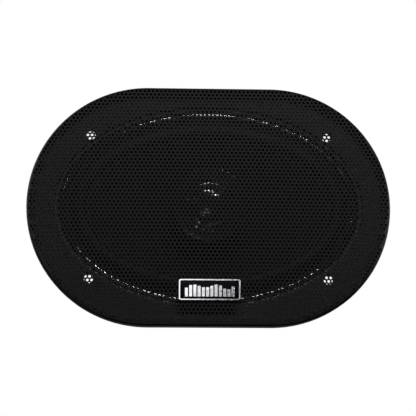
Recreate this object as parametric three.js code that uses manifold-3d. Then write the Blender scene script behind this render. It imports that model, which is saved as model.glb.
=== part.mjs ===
// An oval two-way coaxial loudspeaker for a car door or dash, lying on its magnet.
// Millimetres, +Z is the way it fires. The origin is the centre of the magnet's rear face.
import * as THREE from 'three';
import { mergeVertices } from 'three/addons/utils/BufferGeometryUtils.js';
import Module from 'manifold-3d';

const wasm = await Module();
wasm.setup();

// ---- Driving dimensions ----

// Grille ring, seen from the front: straight sides with round ends.
const ringLength = 167;
const ringWidth = 111;
const ringHeight = 4.5;
const ringBase = 1.5;
const ringLip = 1;
const ringCollar = 1.5;

// Stamped basket.
const sheet = 1;
const mountHeight = 46;
const flangeSetback = 3.5;
const mouthBorderLength = 14.2;
const mouthBorderWidth = 10.2;
const landingDrop = 3.5;
const landingWidth = 6;
const floorHeight = 28.5;
const floorInset = 7.3;
const spiderLandingRadius = 34;
const seatRadius = 28.5;
const seatHoleMargin = 1.8;
const windowCount = 6;
const windowHalfAngle = 22 * Math.PI / 180;
const windowSill = 2;
const windowHead = 2;

// Mounting screws.
const screwHoleRadius = 2.1;
const screwInsetLength = 28.7;
const screwInsetWidth = 22.1;

// Foam gasket behind the flange.
const gasketThickness = 1.5;

// Motor.
const yokeRadius = 29;
const yokeThickness = 4.5;
const magnetRadius = 35;
const magnetThickness = 12;
const magnetHoleMargin = 2.3;
const topPlateRadius = 31;
const topPlateThickness = 4;
const poleRadius = 12.3;
const poleProud = 0.5;
const poleBoreRadius = 4;
const nutRecessRadius = 8;
const nutRecessDepth = 6;
const leadGrooveWidth = 5;
const leadGrooveDepth = 2.6;

// Voice coil.
const coilClearance = 0.3;
const formerThickness = 0.25;
const windingThickness = 0.45;
const formerBottom = 10;
const formerTop = 35;
const windingHeight = 9;

// Cone, surround and spider.
const paper = 0.6;
const neckHeight = 33.4;
const neckCollar = 0.9;
const lipWidth = 2.2;
const lipRise = 1.6;
const rollWidth = 8.2;
const rollHeight = 3.4;
const rubber = 0.6;
const glueWidth = 2;
const spiderCloth = 0.5;
const spiderWaves = 3;
const spiderWaveHeight = 0.9;
const spiderCup = 3;
const clampRingWidth = 2.3;
const clampRingHeight = 2.1;

// Tweeter and its post.
const postRadius = 4.5;
const postThreadRadius = 3.7;
const postBoreRadius = 2;
const postHeight = 23;
const postFlangeRadius = 6.5;
const postFlangeThickness = 1.2;
const nutWidth = 12;
const nutThickness = 3;
const podRadius = 17.6;
const podWall = 1.4;
const podHeight = 8;
const bezelHeight = 2.9;
const bezelBore = 11.4;
const domeRadius = 8.7;
const domeHeight = 2.2;
const domeEdgeRadius = 12.2;
const film = 0.4;
const tweeterMagnetRadius = 7.2;
const tweeterMagnetThickness = 3;
const tweeterPlateRadius = 8.2;
const tweeterPlateThickness = 1.2;
const tweeterCupThickness = 1.2;

// Clip-on grille.
const grilleLedge = 1.15;
const grilleSheet = 0.7;
const grilleSkirt = 4.7;
const grilleBend = 1.3;
const grilleCrown = 2.6;

// Badge on the grille.
const badgeLength = 27.7;
const badgeWidth = 9.4;
const badgeFromEdge = 16.4;
const badgeRim = 0.8;
const badgeHeight = 1.2;
const badgeFloor = 0.4;
const badgeInlay = 0.3;
const studSpacing = 18;
const studRadius = 0.8;
const studLength = 3;

// Terminal board at the +X end.
const boardThickness = 1.6;
const boardLength = 20;
const boardWidth = 22;
const boardOverlap = 13;
const tabThickness = 0.8;
const tabLength = 22.5;
const tabOffset = 6;
const positiveTabWidth = 6.3;
const negativeTabWidth = 4.8;
const rivetShank = 1.3;
const rivetHead = 2.4;
const rivetHeadThickness = 0.7;

// Tweeter's filter capacitor, leads and clearances.
const capacitorRadius = 4;
const capacitorLength = 16;
const leadRadius = 0.55;
const tinselRadius = 0.5;
const leadHoleRadius = 2.5;
const gap = 0.3;
const glueLine = 0.1;
const edgeTravelGap = 0.4;

// ---- Sizes worked out from them ----

const ovalSteps = 36;
const roundSteps = 28;
const smallSteps = 14;
const innerSteps = 24;
const tinySteps = 10;
const wireSides = 6;

const ringStraight = (ringLength - ringWidth) / 2;
const ringRadius = ringWidth / 2;
const flangeTop = mountHeight + sheet;
const landingHeight = flangeTop - landingDrop;
const mouthLength = ringLength / 2 - mouthBorderLength;
const mouthWidth = ringWidth / 2 - mouthBorderWidth;
const mouthSlope = 0.8;
const surroundOuter = mouthSlope + gap;
const rollOuter = surroundOuter + landingWidth - glueWidth - 0.4;
const rollInner = rollOuter + rollWidth;
const coneSetback = rollInner - 0.9;
const coneLength = mouthLength - coneSetback;
const coneWidth = mouthWidth - coneSetback;
const lipHeight = landingHeight + lipRise;
const floorLength = coneLength - floorInset;
const floorWidth = spiderLandingRadius + 2;
const topPlateBottom = yokeThickness + magnetThickness;
const topPlateTop = topPlateBottom + topPlateThickness;
const poleTop = topPlateTop + poleProud;
const formerRadius = poleRadius + coilClearance;
const formerOuter = formerRadius + formerThickness;
const windingRadius = formerOuter + 0.05;
const windingOuter = windingRadius + windingThickness;
const topPlateBore = windingOuter + 0.35;
const magnetHoleRadius = topPlateBore + magnetHoleMargin;
const seatHoleRadius = topPlateBore + seatHoleMargin;
const grilleRadius = ringRadius - grilleLedge;
const ringTop = mountHeight + ringHeight;
const grooveFloor = flangeTop + ringBase;
const skirtBottom = grooveFloor + 0.2;
const bendHeight = ringTop + grilleSkirt - grilleBend - 0.5;
const podFloor = poleTop + postHeight;
const boardStart = floorLength - boardOverlap;
const tinselPlace = boardStart + 8.5;
const boardRivetPlace = boardStart + 3.5;

// ---- Shaping tools ----

const parts = new THREE.Group();

const finishes = {
  paintedSteel: new THREE.MeshStandardMaterial({ color: 0x17181a, roughness: 0.45, metalness: 0.5 }),
  zincSteel: new THREE.MeshStandardMaterial({ color: 0x9a9da0, roughness: 0.4, metalness: 0.9 }),
  ferrite: new THREE.MeshStandardMaterial({ color: 0x2c2b2c, roughness: 0.75, metalness: 0.1 }),
  blackPlastic: new THREE.MeshStandardMaterial({ color: 0x141416, roughness: 0.5, metalness: 0 }),
  glossPlastic: new THREE.MeshStandardMaterial({ color: 0x0e0c0c, roughness: 0.12, metalness: 0 }),
  chrome: new THREE.MeshStandardMaterial({ color: 0xc9cbcf, roughness: 0.12, metalness: 1 }),
  grilleSteel: new THREE.MeshStandardMaterial({ color: 0x222226, roughness: 0.42, metalness: 0.4 }),
  conePaper: new THREE.MeshStandardMaterial({ color: 0x3a3a3c, roughness: 0.7, metalness: 0 }),
  rubber: new THREE.MeshStandardMaterial({ color: 0x131314, roughness: 0.5, metalness: 0 }),
  spiderCloth: new THREE.MeshStandardMaterial({ color: 0xa8843f, roughness: 0.9, metalness: 0 }),
  foam: new THREE.MeshStandardMaterial({ color: 0x1e1e20, roughness: 0.95, metalness: 0 }),
  copper: new THREE.MeshStandardMaterial({ color: 0xb0633a, roughness: 0.35, metalness: 0.9 }),
  tinsel: new THREE.MeshStandardMaterial({ color: 0xb88a55, roughness: 0.5, metalness: 0.7 }),
  aluminium: new THREE.MeshStandardMaterial({ color: 0xb9bcc0, roughness: 0.35, metalness: 0.9 }),
  phenolic: new THREE.MeshStandardMaterial({ color: 0x6b4426, roughness: 0.6, metalness: 0 }),
  tinnedBrass: new THREE.MeshStandardMaterial({ color: 0xc8b98a, roughness: 0.3, metalness: 0.95 }),
  sleeve: new THREE.MeshStandardMaterial({ color: 0x1c2a4a, roughness: 0.35, metalness: 0 }),
  redWire: new THREE.MeshStandardMaterial({ color: 0xa01c1c, roughness: 0.45, metalness: 0 }),
  blackWire: new THREE.MeshStandardMaterial({ color: 0x151515, roughness: 0.45, metalness: 0 }),
};

// Adds one named solid to a group.
function add(name, geometry, finish, group = parts) {
  geometry.computeVertexNormals();
  const mesh = new THREE.Mesh(geometry, finishes[finish].clone());
  mesh.name = name;
  group.add(mesh);
  return mesh;
}

// Merges shared corners, drops triangles with no area and turns every face outwards.
function closed(rawGeometry) {
  const bare = rawGeometry.clone();
  bare.deleteAttribute('normal');
  bare.deleteAttribute('uv');
  const geometry = mergeVertices(bare, 1e-4);
  const position = geometry.attributes.position;
  const source = geometry.index.array;
  const corner = [new THREE.Vector3(), new THREE.Vector3(), new THREE.Vector3()];
  const kept = [];
  let volume = 0;
  for (let i = 0; i < source.length; i += 3) {
    const [a, b, c] = [source[i], source[i + 1], source[i + 2]];
    if (a === b || b === c || c === a) {
      continue;
    }
    [a, b, c].forEach((index, k) => corner[k].fromBufferAttribute(position, index));
    volume += corner[0].dot(corner[1].cross(corner[2]));
    kept.push([a, b, c]);
  }
  const index = volume < 0 ? kept.flatMap(([a, b, c]) => [a, c, b]) : kept.flat();
  geometry.setIndex(index);
  return geometry;
}

function toSolid(geometry) {
  const clean = closed(geometry);
  const vertProperties = new Float32Array(clean.attributes.position.array);
  const triVerts = new Uint32Array(clean.index.array);
  return new wasm.Manifold(new wasm.Mesh({ numProp: 3, vertProperties, triVerts }));
}

function toGeometry(solid) {
  const { vertProperties, triVerts } = solid.getMesh();
  const geometry = new THREE.BufferGeometry();
  geometry.setAttribute('position', new THREE.BufferAttribute(vertProperties, 3));
  geometry.setIndex(new THREE.BufferAttribute(triVerts, 1));
  return geometry;
}

function cut(geometry, tools) {
  const body = toSolid(geometry);
  return toGeometry(tools.reduce((left, tool) => left.subtract(toSolid(tool)), body));
}

function join(geometries) {
  return toGeometry(geometries.map(toSolid).reduce((left, right) => left.add(right)));
}

// A point of an oval section: an ellipse, or straight sides with round ends.
const ellipse = (length, width, z) => ({ length, width, z, straight: 0 });
const stadium = (radius, z) => ({ length: radius, width: radius, z, straight: ringStraight });
const circle = (radius, z) => ellipse(radius, radius, z);

// Sweeps a section round the oval. No corner falls on the Y axis, so the straight
// sides have none between their ends, and the flats stand at the stated sizes.
function oval(section, onAxis = false) {
  const loop = onAxis ? section : [...section, section[0]];
  const profile = loop.map((point, index) => new THREE.Vector2(index + 1, point.z));
  const geometry = new THREE.LatheGeometry(profile, ovalSteps);
  const position = geometry.attributes.position;
  const halfStep = Math.PI / ovalSteps;
  for (let i = 0; i < position.count; i += 1) {
    const { length, width, z, straight } = loop[i % loop.length];
    const angle = (2 * Math.floor(i / loop.length) + 1) * halfStep;
    const x = length * Math.cos(angle) / Math.cos(halfStep);
    const y = width * Math.sin(angle) / Math.cos(halfStep);
    position.setXYZ(i, x + straight * Math.sign(Math.cos(angle)), y, z);
  }
  return closed(geometry);
}

// Spins a section of [radius, height] pairs about the Z axis.
function turned(section, steps = roundSteps) {
  const onAxis = section[0][0] === 0;
  const loop = onAxis ? section : [...section, section[0]];
  const geometry = new THREE.LatheGeometry(loop.map(([r, z]) => new THREE.Vector2(r, z)), steps);
  return closed(geometry.rotateX(Math.PI / 2));
}

const tube = (inner, outer, bottom, top, steps = roundSteps) =>
  turned([[inner, bottom], [outer, bottom], [outer, top], [inner, top]], steps);

const disc = (radius, bottom, top, steps = roundSteps) =>
  turned([[0, bottom], [radius, bottom], [radius, top], [0, top]], steps);

function box(x0, x1, y0, y1, z0, z1) {
  const geometry = new THREE.BoxGeometry(x1 - x0, y1 - y0, z1 - z0);
  return geometry.translate((x0 + x1) / 2, (y0 + y1) / 2, (z0 + z1) / 2);
}

function roundedRectangle(length, width, radius) {
  const [x, y] = [length / 2, width / 2];
  const shape = new THREE.Shape();
  shape.absarc(x - radius, -y + radius, radius, -Math.PI / 2, 0);
  shape.absarc(x - radius, y - radius, radius, 0, Math.PI / 2);
  shape.absarc(-x + radius, y - radius, radius, Math.PI / 2, Math.PI);
  shape.absarc(-x + radius, -y + radius, radius, Math.PI, Math.PI * 1.5);
  shape.closePath();
  return shape;
}

function plate(shape, bottom, top) {
  const options = { depth: top - bottom, bevelEnabled: false, curveSegments: 3 };
  const geometry = new THREE.ExtrudeGeometry(shape, options);
  return closed(geometry.translate(0, 0, bottom));
}

// A round wire along a smooth curve through the points.
function wire(points, radius, steps) {
  const corners = Array.from({ length: wireSides }, (_, i) => {
    const angle = 2 * Math.PI * i / wireSides;
    return new THREE.Vector2(radius * Math.cos(angle), radius * Math.sin(angle));
  });
  const route = points.map((point) => new THREE.Vector3(...point));
  const curve = new THREE.CatmullRomCurve3(route, false, 'centripetal');
  return closed(new THREE.ExtrudeGeometry(new THREE.Shape(corners), { steps, extrudePath: curve }));
}

const screwPlaces = [[1, 1], [-1, 1], [-1, -1], [1, -1]].map(([sideX, sideY]) => [
  sideX * (ringLength / 2 - screwInsetLength),
  sideY * (ringWidth / 2 - screwInsetWidth),
]);

// Round cutters through the four screw places.
const screwCutters = (radius) => screwPlaces.map(([x, y]) =>
  disc(radius, mountHeight - 10, ringTop + 10, smallSteps).translate(x, y, 0));

// ---- Motor ----

function yoke() {
  const chamfer = 0.8;
  const body = turned([
    [nutRecessRadius, 0],
    [yokeRadius - chamfer, 0],
    [yokeRadius, chamfer],
    [yokeRadius, yokeThickness],
    [poleRadius, yokeThickness],
    [poleRadius, poleTop - 0.6],
    [poleRadius - 0.6, poleTop],
    [poleBoreRadius, poleTop],
    [poleBoreRadius, nutRecessDepth],
    [nutRecessRadius, nutRecessDepth],
  ]);
  const half = leadGrooveWidth / 2;
  return cut(body, [box(nutRecessRadius - 1, yokeRadius + 1, -half, half, -1, leadGrooveDepth)]);
}

function magnetRing() {
  const chamfer = 1;
  const [bottom, top] = [yokeThickness, topPlateBottom];
  return turned([
    [magnetHoleRadius, bottom],
    [magnetRadius - chamfer, bottom],
    [magnetRadius, bottom + chamfer],
    [magnetRadius, top - chamfer],
    [magnetRadius - chamfer, top],
    [magnetHoleRadius, top],
  ]);
}

add('t_yoke', yoke(), 'zincSteel');
add('magnet_ring', magnetRing(), 'ferrite');
add('top_plate', tube(topPlateBore, topPlateRadius, topPlateBottom, topPlateTop), 'zincSteel');

// ---- Basket ----

// A curved block that opens one window in the basket's wall.
function windowCutter(middle) {
  const shape = new THREE.Shape();
  const [inLength, inWidth] = [floorLength - 6, floorWidth - 4];
  const [outLength, outWidth] = [mouthLength + 8, mouthWidth + 8];
  const [from, to] = [middle - windowHalfAngle, middle + windowHalfAngle];
  shape.absellipse(0, 0, inLength, inWidth, from, to, false);
  shape.absellipse(0, 0, outLength, outWidth, to, from, true);
  shape.closePath();
  return plate(shape, floorHeight + windowSill, landingHeight - sheet - windowHead);
}

function basket() {
  const landingInner = surroundOuter + landingWidth;
  const seatTop = topPlateTop + sheet;
  const inward = (offset, z) => ellipse(mouthLength - offset, mouthWidth - offset, z);
  const body = oval([
    circle(seatHoleRadius, seatTop),
    circle(seatRadius, seatTop),
    circle(seatRadius + 1.8, floorHeight),
    ellipse(floorLength, floorWidth, floorHeight),
    inward(landingInner, landingHeight),
    inward(mouthSlope, landingHeight),
    inward(0, flangeTop),
    stadium(ringRadius - flangeSetback, flangeTop),
    stadium(ringRadius - flangeSetback, mountHeight),
    inward(-sheet, mountHeight),
    inward(mouthSlope - sheet - 0.1, landingHeight - sheet),
    inward(landingInner - sheet + 0.2, landingHeight - sheet),
    ellipse(floorLength + sheet, floorWidth + sheet, floorHeight - sheet),
    circle(seatRadius + 1.8 + sheet, floorHeight - sheet),
    circle(seatRadius + sheet, topPlateTop),
    circle(seatHoleRadius, topPlateTop),
  ]);
  const windows = Array.from({ length: windowCount }, (_, i) =>
    windowCutter((i + 0.5) * 2 * Math.PI / windowCount));
  const floorHole = (radius, x, y) =>
    disc(radius, topPlateTop, floorHeight + 4, smallSteps).translate(x, y, 0);
  const floorHoles = [
    floorHole(leadHoleRadius, tinselPlace, tabOffset),
    floorHole(leadHoleRadius, tinselPlace, -tabOffset),
    floorHole(rivetShank + gap, boardRivetPlace, 0),
  ];
  return cut(body, [...windows, ...screwCutters(screwHoleRadius), ...floorHoles]);
}

add('basket', basket(), 'paintedSteel');

function mountingGasket() {
  const [inner, bottom] = [sheet + 0.2, mountHeight - gasketThickness];
  const outer = ringRadius - flangeSetback - 1;
  const body = oval([
    ellipse(mouthLength + inner, mouthWidth + inner, bottom),
    stadium(outer, bottom),
    stadium(outer, mountHeight),
    ellipse(mouthLength + inner, mouthWidth + inner, mountHeight),
  ]);
  return cut(body, screwCutters(screwHoleRadius + gap));
}

add('mounting_gasket', mountingGasket(), 'foam');

// ---- Moving cone and its suspension ----

add('voice_coil_former', tube(formerRadius, formerOuter, formerBottom, formerTop), 'aluminium');

const windingMiddle = (topPlateBottom + topPlateTop) / 2;
add(
  'voice_coil',
  tube(windingRadius, windingOuter, windingMiddle - windingHeight / 2, windingMiddle + windingHeight / 2),
  'copper',
);

const neckRadius = formerOuter + glueLine;

// A point on the cone's front: 0 at the neck, 1 at the inside of the lip.
function conePoint(share, drop = 0) {
  const neck = neckRadius + paper;
  const bow = 0.9 * Math.sin(Math.PI * share);
  return ellipse(
    neck + (coneLength - lipWidth - neck) * share,
    neck + (coneWidth - lipWidth - neck) * share,
    neckHeight + (lipHeight - neckHeight) * share + bow - drop,
  );
}

function cone() {
  const shares = [0, 0.25, 0.5, 0.75, 1];
  const front = shares.map((share) => conePoint(share));
  const back = shares.slice(1).reverse().map((share) => conePoint(share, paper));
  return oval([
    circle(neckRadius, neckHeight),
    ...front,
    ellipse(coneLength, coneWidth, lipHeight),
    ellipse(coneLength, coneWidth, lipHeight - paper),
    ...back,
    circle(neckRadius + paper, neckHeight - neckCollar),
    circle(neckRadius, neckHeight - neckCollar),
  ]);
}

add('cone', cone(), 'conePaper');

function surround() {
  const inward = (offset, z) => ellipse(mouthLength - offset, mouthWidth - offset, z);
  const rollMiddle = rollOuter + rollWidth / 2;
  const arc = (radius, base) => Array.from({ length: 6 }, (_, i) => {
    const angle = Math.PI * i / 5;
    const z = base + lipRise * i / 5 + rollHeight * Math.sin(angle);
    return inward(rollMiddle - radius * Math.cos(angle), z);
  });
  return oval([
    inward(surroundOuter, landingHeight + rubber),
    ...arc(rollWidth / 2, landingHeight + rubber),
    inward(rollInner + glueWidth - 1, lipHeight + rubber),
    inward(rollInner + glueWidth - 1, lipHeight),
    ...arc(rollWidth / 2 - rubber, landingHeight).reverse(),
    inward(surroundOuter, landingHeight),
  ]);
}

add('surround', surround(), 'rubber');

function clampRing() {
  const inward = (offset, z) => ellipse(mouthLength - offset, mouthWidth - offset, z);
  const bottom = landingHeight + rubber;
  const middle = surroundOuter + clampRingWidth / 2;
  const shoulder = bottom + clampRingHeight * 0.55;
  const rise = clampRingHeight * 0.45;
  const crown = Array.from({ length: 5 }, (_, i) => {
    const angle = Math.PI * i / 4;
    return inward(middle - clampRingWidth / 2 * Math.cos(angle), shoulder + rise * Math.sin(angle));
  });
  return oval([inward(surroundOuter, bottom), ...crown, inward(surroundOuter + clampRingWidth, bottom)]);
}

add('surround_clamp_ring', clampRing(), 'glossPlastic');

// A cup spider: a flange on the basket's floor, a short wall and then the waves.
function spider() {
  const [inner, outer] = [formerOuter + glueLine, spiderLandingRadius - 0.4];
  const [first, last] = [inner + 1.6, seatRadius + 1];
  const waves = Array.from({ length: spiderWaves * 2 }, (_, i) => {
    const r = first + (last - first) * (i + 0.5) / (spiderWaves * 2);
    return [r, spiderCup + spiderWaveHeight * (i % 2 ? -1 : 1)];
  });
  const wall = [[last, spiderCup], [last + 1, spiderCup], [last + 2, 0]];
  const ridge = [[inner, spiderCup], [first, spiderCup], ...waves, ...wall, [outer, 0]];
  const lower = ridge.map(([r, z]) => [r, floorHeight + z]);
  const upper = ridge.map(([r, z]) => [r, floorHeight + spiderCloth + z]).reverse();
  return turned([...lower, ...upper]);
}

add('spider', spider(), 'spiderCloth');
add('dust_seal', tube(postRadius + 0.7, formerOuter + gap, formerTop, formerTop + film), 'foam');

// ---- Tweeter on its post ----

function post() {
  const shoulder = podFloor - postFlangeThickness;
  const spigotTop = podFloor + podWall + 0.6;
  return turned([
    [postBoreRadius, leadGrooveDepth],
    [postThreadRadius, leadGrooveDepth],
    [postThreadRadius, poleTop],
    [postRadius, poleTop],
    [postRadius, shoulder - 1.5],
    [postFlangeRadius, shoulder],
    [postFlangeRadius, podFloor],
    [postThreadRadius, podFloor],
    [postThreadRadius, spigotTop],
    [postBoreRadius, spigotTop],
  ], smallSteps);
}

add('tweeter_post', post(), 'blackPlastic');

function postNut() {
  const top = nutRecessDepth;
  const hex = disc(nutWidth / Math.sqrt(3), top - nutThickness, top, 6);
  return cut(hex, [disc(postThreadRadius + glueLine, 0, top + 1, smallSteps)]);
}

add('post_nut', postNut(), 'zincSteel');

const cupBottom = podFloor + podWall + 0.6;
const tweeterMagnetBottom = cupBottom + tweeterCupThickness;
const tweeterPlateBottom = tweeterMagnetBottom + tweeterMagnetThickness;
const tweeterPlateTop = tweeterPlateBottom + tweeterPlateThickness;
const tweeterCoilRadius = tweeterPlateRadius + 0.2;
const tweeterCoilOuter = tweeterCoilRadius + 0.35;
const tweeterCupBore = tweeterCoilOuter + 0.35;
const tweeterCupRadius = tweeterCupBore + tweeterCupThickness;
const podTop = podFloor + podHeight;
const carrierTop = podTop - glueLine;
const carrierBottom = podTop - 2.5;
const rimBottom = carrierTop + edgeTravelGap;

function tweeterHousing() {
  const outer = podRadius - gap;
  const ledge = outer - podWall * 2;
  return turned([
    [postThreadRadius + gap, podFloor],
    [podRadius - 5, podFloor],
    [podRadius - 1.6, podFloor + 1.6],
    [outer, podFloor + 4.5],
    [outer, podTop],
    [outer - podWall, podTop],
    [outer - podWall, carrierBottom],
    [ledge, carrierBottom],
    [ledge, podFloor + 4],
    [podRadius - 5.6, podFloor + podWall],
    [postThreadRadius + gap, podFloor + podWall],
  ]);
}

function tweeterCup() {
  return turned([
    [0, cupBottom],
    [tweeterCupRadius, cupBottom],
    [tweeterCupRadius, tweeterPlateTop],
    [tweeterCupBore, tweeterPlateTop],
    [tweeterCupBore, tweeterMagnetBottom],
    [0, tweeterMagnetBottom],
  ], innerSteps);
}

// The diaphragm: a dome, a small roll round it and a flat rim, all one film.
function tweeterDome() {
  const roll = (domeEdgeRadius - 1 - domeRadius) / 2;
  const dome = [0, 0.45, 0.8, 1].map((share) => [
    domeRadius * share,
    rimBottom + domeHeight * Math.sqrt(1 - 0.98 * share * share),
  ]);
  const line = [
    ...dome,
    [domeRadius + roll, rimBottom + 0.7],
    [domeEdgeRadius - 1, rimBottom],
    [domeEdgeRadius, rimBottom],
  ];
  const upper = line.map(([r, z]) => [r, z + film]).reverse();
  return turned([...line, ...upper], innerSteps);
}

function tweeterBezel() {
  const top = podTop + bezelHeight;
  const lip = rimBottom + film + edgeTravelGap + 0.1;
  return turned([
    [bezelBore, lip],
    [podRadius - podWall - 0.4, lip],
    [podRadius - podWall - 0.4, podTop],
    [podRadius, podTop],
    [podRadius, top - 0.9],
    [podRadius - 0.9, top],
    [podRadius - 2.6, top],
    [bezelBore + 1.2, lip + 0.9],
    [bezelBore, lip + 0.5],
  ]);
}

add('tweeter_housing', tweeterHousing(), 'blackPlastic');
add('tweeter_cup', tweeterCup(), 'zincSteel');
add(
  'tweeter_magnet',
  disc(tweeterMagnetRadius, tweeterMagnetBottom, tweeterPlateBottom, innerSteps),
  'chrome',
);
add(
  'tweeter_top_plate',
  disc(tweeterPlateRadius, tweeterPlateBottom, tweeterPlateTop, innerSteps),
  'zincSteel',
);
add(
  'tweeter_carrier',
  tube(tweeterCupRadius + gap, podRadius - podWall - 0.4, carrierBottom, carrierTop),
  'blackPlastic',
);
add(
  'tweeter_coil',
  tube(tweeterCoilRadius, tweeterCoilOuter, tweeterPlateBottom - 0.4, rimBottom, innerSteps),
  'copper',
);
add('tweeter_dome', tweeterDome(), 'glossPlastic');
add('tweeter_bezel', tweeterBezel(), 'glossPlastic');

// ---- Grille ring and clip-on grille ----

function grilleRing() {
  const outerLip = ringRadius - ringLip;
  const grooveInner = grilleRadius - grilleSheet - 0.15;
  const collar = grooveInner - ringCollar;
  const opening = mouthLength + 1.7;
  const flangeEdge = ringRadius - flangeSetback + 0.5;
  const body = oval([
    stadium(ringRadius, mountHeight),
    stadium(ringRadius, ringTop - 0.4),
    stadium(ringRadius - 0.4, ringTop),
    stadium(outerLip, ringTop),
    stadium(outerLip, grooveFloor),
    stadium(grooveInner, grooveFloor),
    stadium(grooveInner, ringTop - 0.3),
    stadium(collar, ringTop - 0.3),
    stadium(collar, grooveFloor),
    ellipse(opening, mouthWidth + 1.7, grooveFloor),
    ellipse(opening, mouthWidth + 1.7, flangeTop),
    stadium(flangeEdge, flangeTop),
    stadium(flangeEdge, mountHeight),
  ]);
  return cut(body, screwCutters(screwHoleRadius + 0.4));
}

add('grille_ring', grilleRing(), 'blackPlastic');

const grille = new THREE.Group();
parts.add(grille);

// The grille's top is a shallow pillow: every level is the outline, smaller.
const crownRadius = grilleRadius - grilleBend;
const crownBase = bendHeight + grilleBend;
const crownTop = crownBase + grilleCrown;
const crownHeight = (share) => crownBase + grilleCrown * (1 - share * share);

function grilleShell() {
  const level = (share, drop) => ({
    length: crownRadius * share,
    width: crownRadius * share,
    z: crownHeight(share) - drop,
    straight: ringStraight * share,
  });
  const bend = (radius) => [1, 2].map((i) => {
    const angle = Math.PI / 4 * i;
    return stadium(crownRadius + radius * Math.sin(angle), bendHeight + radius * Math.cos(angle));
  });
  const shares = [0, 0.3, 0.55, 0.8, 1];
  return oval([
    ...shares.map((share) => level(share, 0)),
    ...bend(grilleBend),
    stadium(grilleRadius, skirtBottom),
    stadium(grilleRadius - grilleSheet, skirtBottom),
    ...bend(grilleBend - grilleSheet).reverse(),
    ...shares.map((share) => level(share, grilleSheet)).reverse(),
  ], true);
}

// The badge lies along the grille's slope, so its pieces share one turned group.
const badgeY = -(ringRadius - badgeFromEdge);
const badgeShare = -badgeY / crownRadius;
const badgeSlope = Math.atan(2 * grilleCrown * badgeShare / crownRadius);
const badge = new THREE.Group();
badge.position.set(0, badgeY, crownHeight(badgeShare));
badge.rotation.x = badgeSlope;
grille.add(badge);
const studPlaces = [-studSpacing / 2, studSpacing / 2];

const studHoles = studPlaces.map((x) =>
  disc(studRadius + 0.4, crownBase - 3, crownTop + 3, smallSteps).translate(x, badgeY, 0));
add('grille_mesh', cut(grilleShell(), studHoles), 'grilleSteel', grille);

function badgeFrame() {
  const tray = plate(roundedRectangle(badgeLength, badgeWidth, 0.9), gap, gap + badgeHeight);
  const pocket = plate(
    roundedRectangle(badgeLength - 2 * badgeRim, badgeWidth - 2 * badgeRim, 0.5),
    gap + badgeFloor,
    gap + badgeHeight + 1,
  );
  const studs = studPlaces.map((x) =>
    disc(studRadius, -studLength, gap + badgeFloor / 2, tinySteps).translate(x, 0, 0));
  return join([cut(tray, [pocket]), ...studs]);
}

function badgeInlayPlate() {
  const inset = 2 * (badgeRim + gap);
  const bottom = gap + badgeFloor + gap;
  return plate(roundedRectangle(badgeLength - inset, badgeWidth - inset, 0.4), bottom, bottom + badgeInlay);
}

add('badge_frame', badgeFrame(), 'chrome', badge);
add('badge_inlay', badgeInlayPlate(), 'glossPlastic', badge);
['left', 'right'].forEach((side, i) => {
  const clipTop = -grilleSheet - gap;
  const clip = tube(studRadius + glueLine, 2.4, clipTop - 0.5, clipTop, tinySteps);
  add(`badge_clip_${side}`, clip.translate(studPlaces[i], 0, 0), 'zincSteel', badge);
});

// ---- Terminals, filter and leads ----

const boardTop = floorHeight - sheet;
const boardBottom = boardTop - boardThickness;
const tabTop = boardBottom;
const tabBottom = tabTop - tabThickness;
const tabStart = boardStart + 6.5;
const tabRivetPlace = boardStart + 17;

function terminalBoard() {
  const end = boardStart + boardLength;
  const body = box(boardStart, end, -boardWidth / 2, boardWidth / 2, boardBottom, boardTop);
  const holes = [
    [boardRivetPlace, 0],
    [tinselPlace, tabOffset],
    [tinselPlace, -tabOffset],
    [tabRivetPlace, tabOffset],
    [tabRivetPlace, -tabOffset],
  ];
  return cut(body, holes.map(([x, y]) =>
    disc(rivetShank + gap, boardBottom - 1, boardTop + 1, tinySteps).translate(x, y, 0)));
}

function terminalTab(width, y) {
  const end = tabStart + tabLength;
  const outline = new THREE.Shape();
  outline.moveTo(tabStart, -width / 2);
  outline.lineTo(end - 1.5, -width / 2);
  outline.lineTo(end, -width / 2 + 1.2);
  outline.lineTo(end, width / 2 - 1.2);
  outline.lineTo(end - 1.5, width / 2);
  outline.lineTo(tabStart, width / 2);
  outline.closePath();
  const holes = [[tabRivetPlace, rivetShank + gap], [end - 4, 0.85]];
  const cutters = holes.map(([x, r]) => disc(r, tabBottom - 1, tabTop + 1, tinySteps).translate(x, 0, 0));
  return cut(plate(outline, tabBottom, tabTop), cutters).translate(0, y, 0);
}

// A rivet from its lower head's seat to its upper head's seat.
function rivet(x, y, bottom, top) {
  return turned([
    [0, bottom - rivetHeadThickness],
    [rivetHead - 0.5, bottom - rivetHeadThickness],
    [rivetHead, bottom],
    [rivetShank, bottom],
    [rivetShank, top],
    [rivetHead, top],
    [rivetHead - 0.5, top + rivetHeadThickness],
    [0, top + rivetHeadThickness],
  ], tinySteps).translate(x, y, 0);
}

add('terminal_board', terminalBoard(), 'phenolic');
add('terminal_tab_positive', terminalTab(positiveTabWidth, tabOffset), 'tinnedBrass');
add('terminal_tab_negative', terminalTab(negativeTabWidth, -tabOffset), 'tinnedBrass');
add('terminal_rivet_positive', rivet(tabRivetPlace, tabOffset, tabBottom, boardTop), 'tinnedBrass');
add('terminal_rivet_negative', rivet(tabRivetPlace, -tabOffset, tabBottom, boardTop), 'tinnedBrass');
add('board_rivet', rivet(boardRivetPlace, 0, boardBottom, floorHeight), 'zincSteel');

const capacitorX = boardStart + capacitorRadius;
const capacitorY = boardWidth / 2 + 1;
const capacitorZ = boardTop - gap - capacitorRadius;

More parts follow.
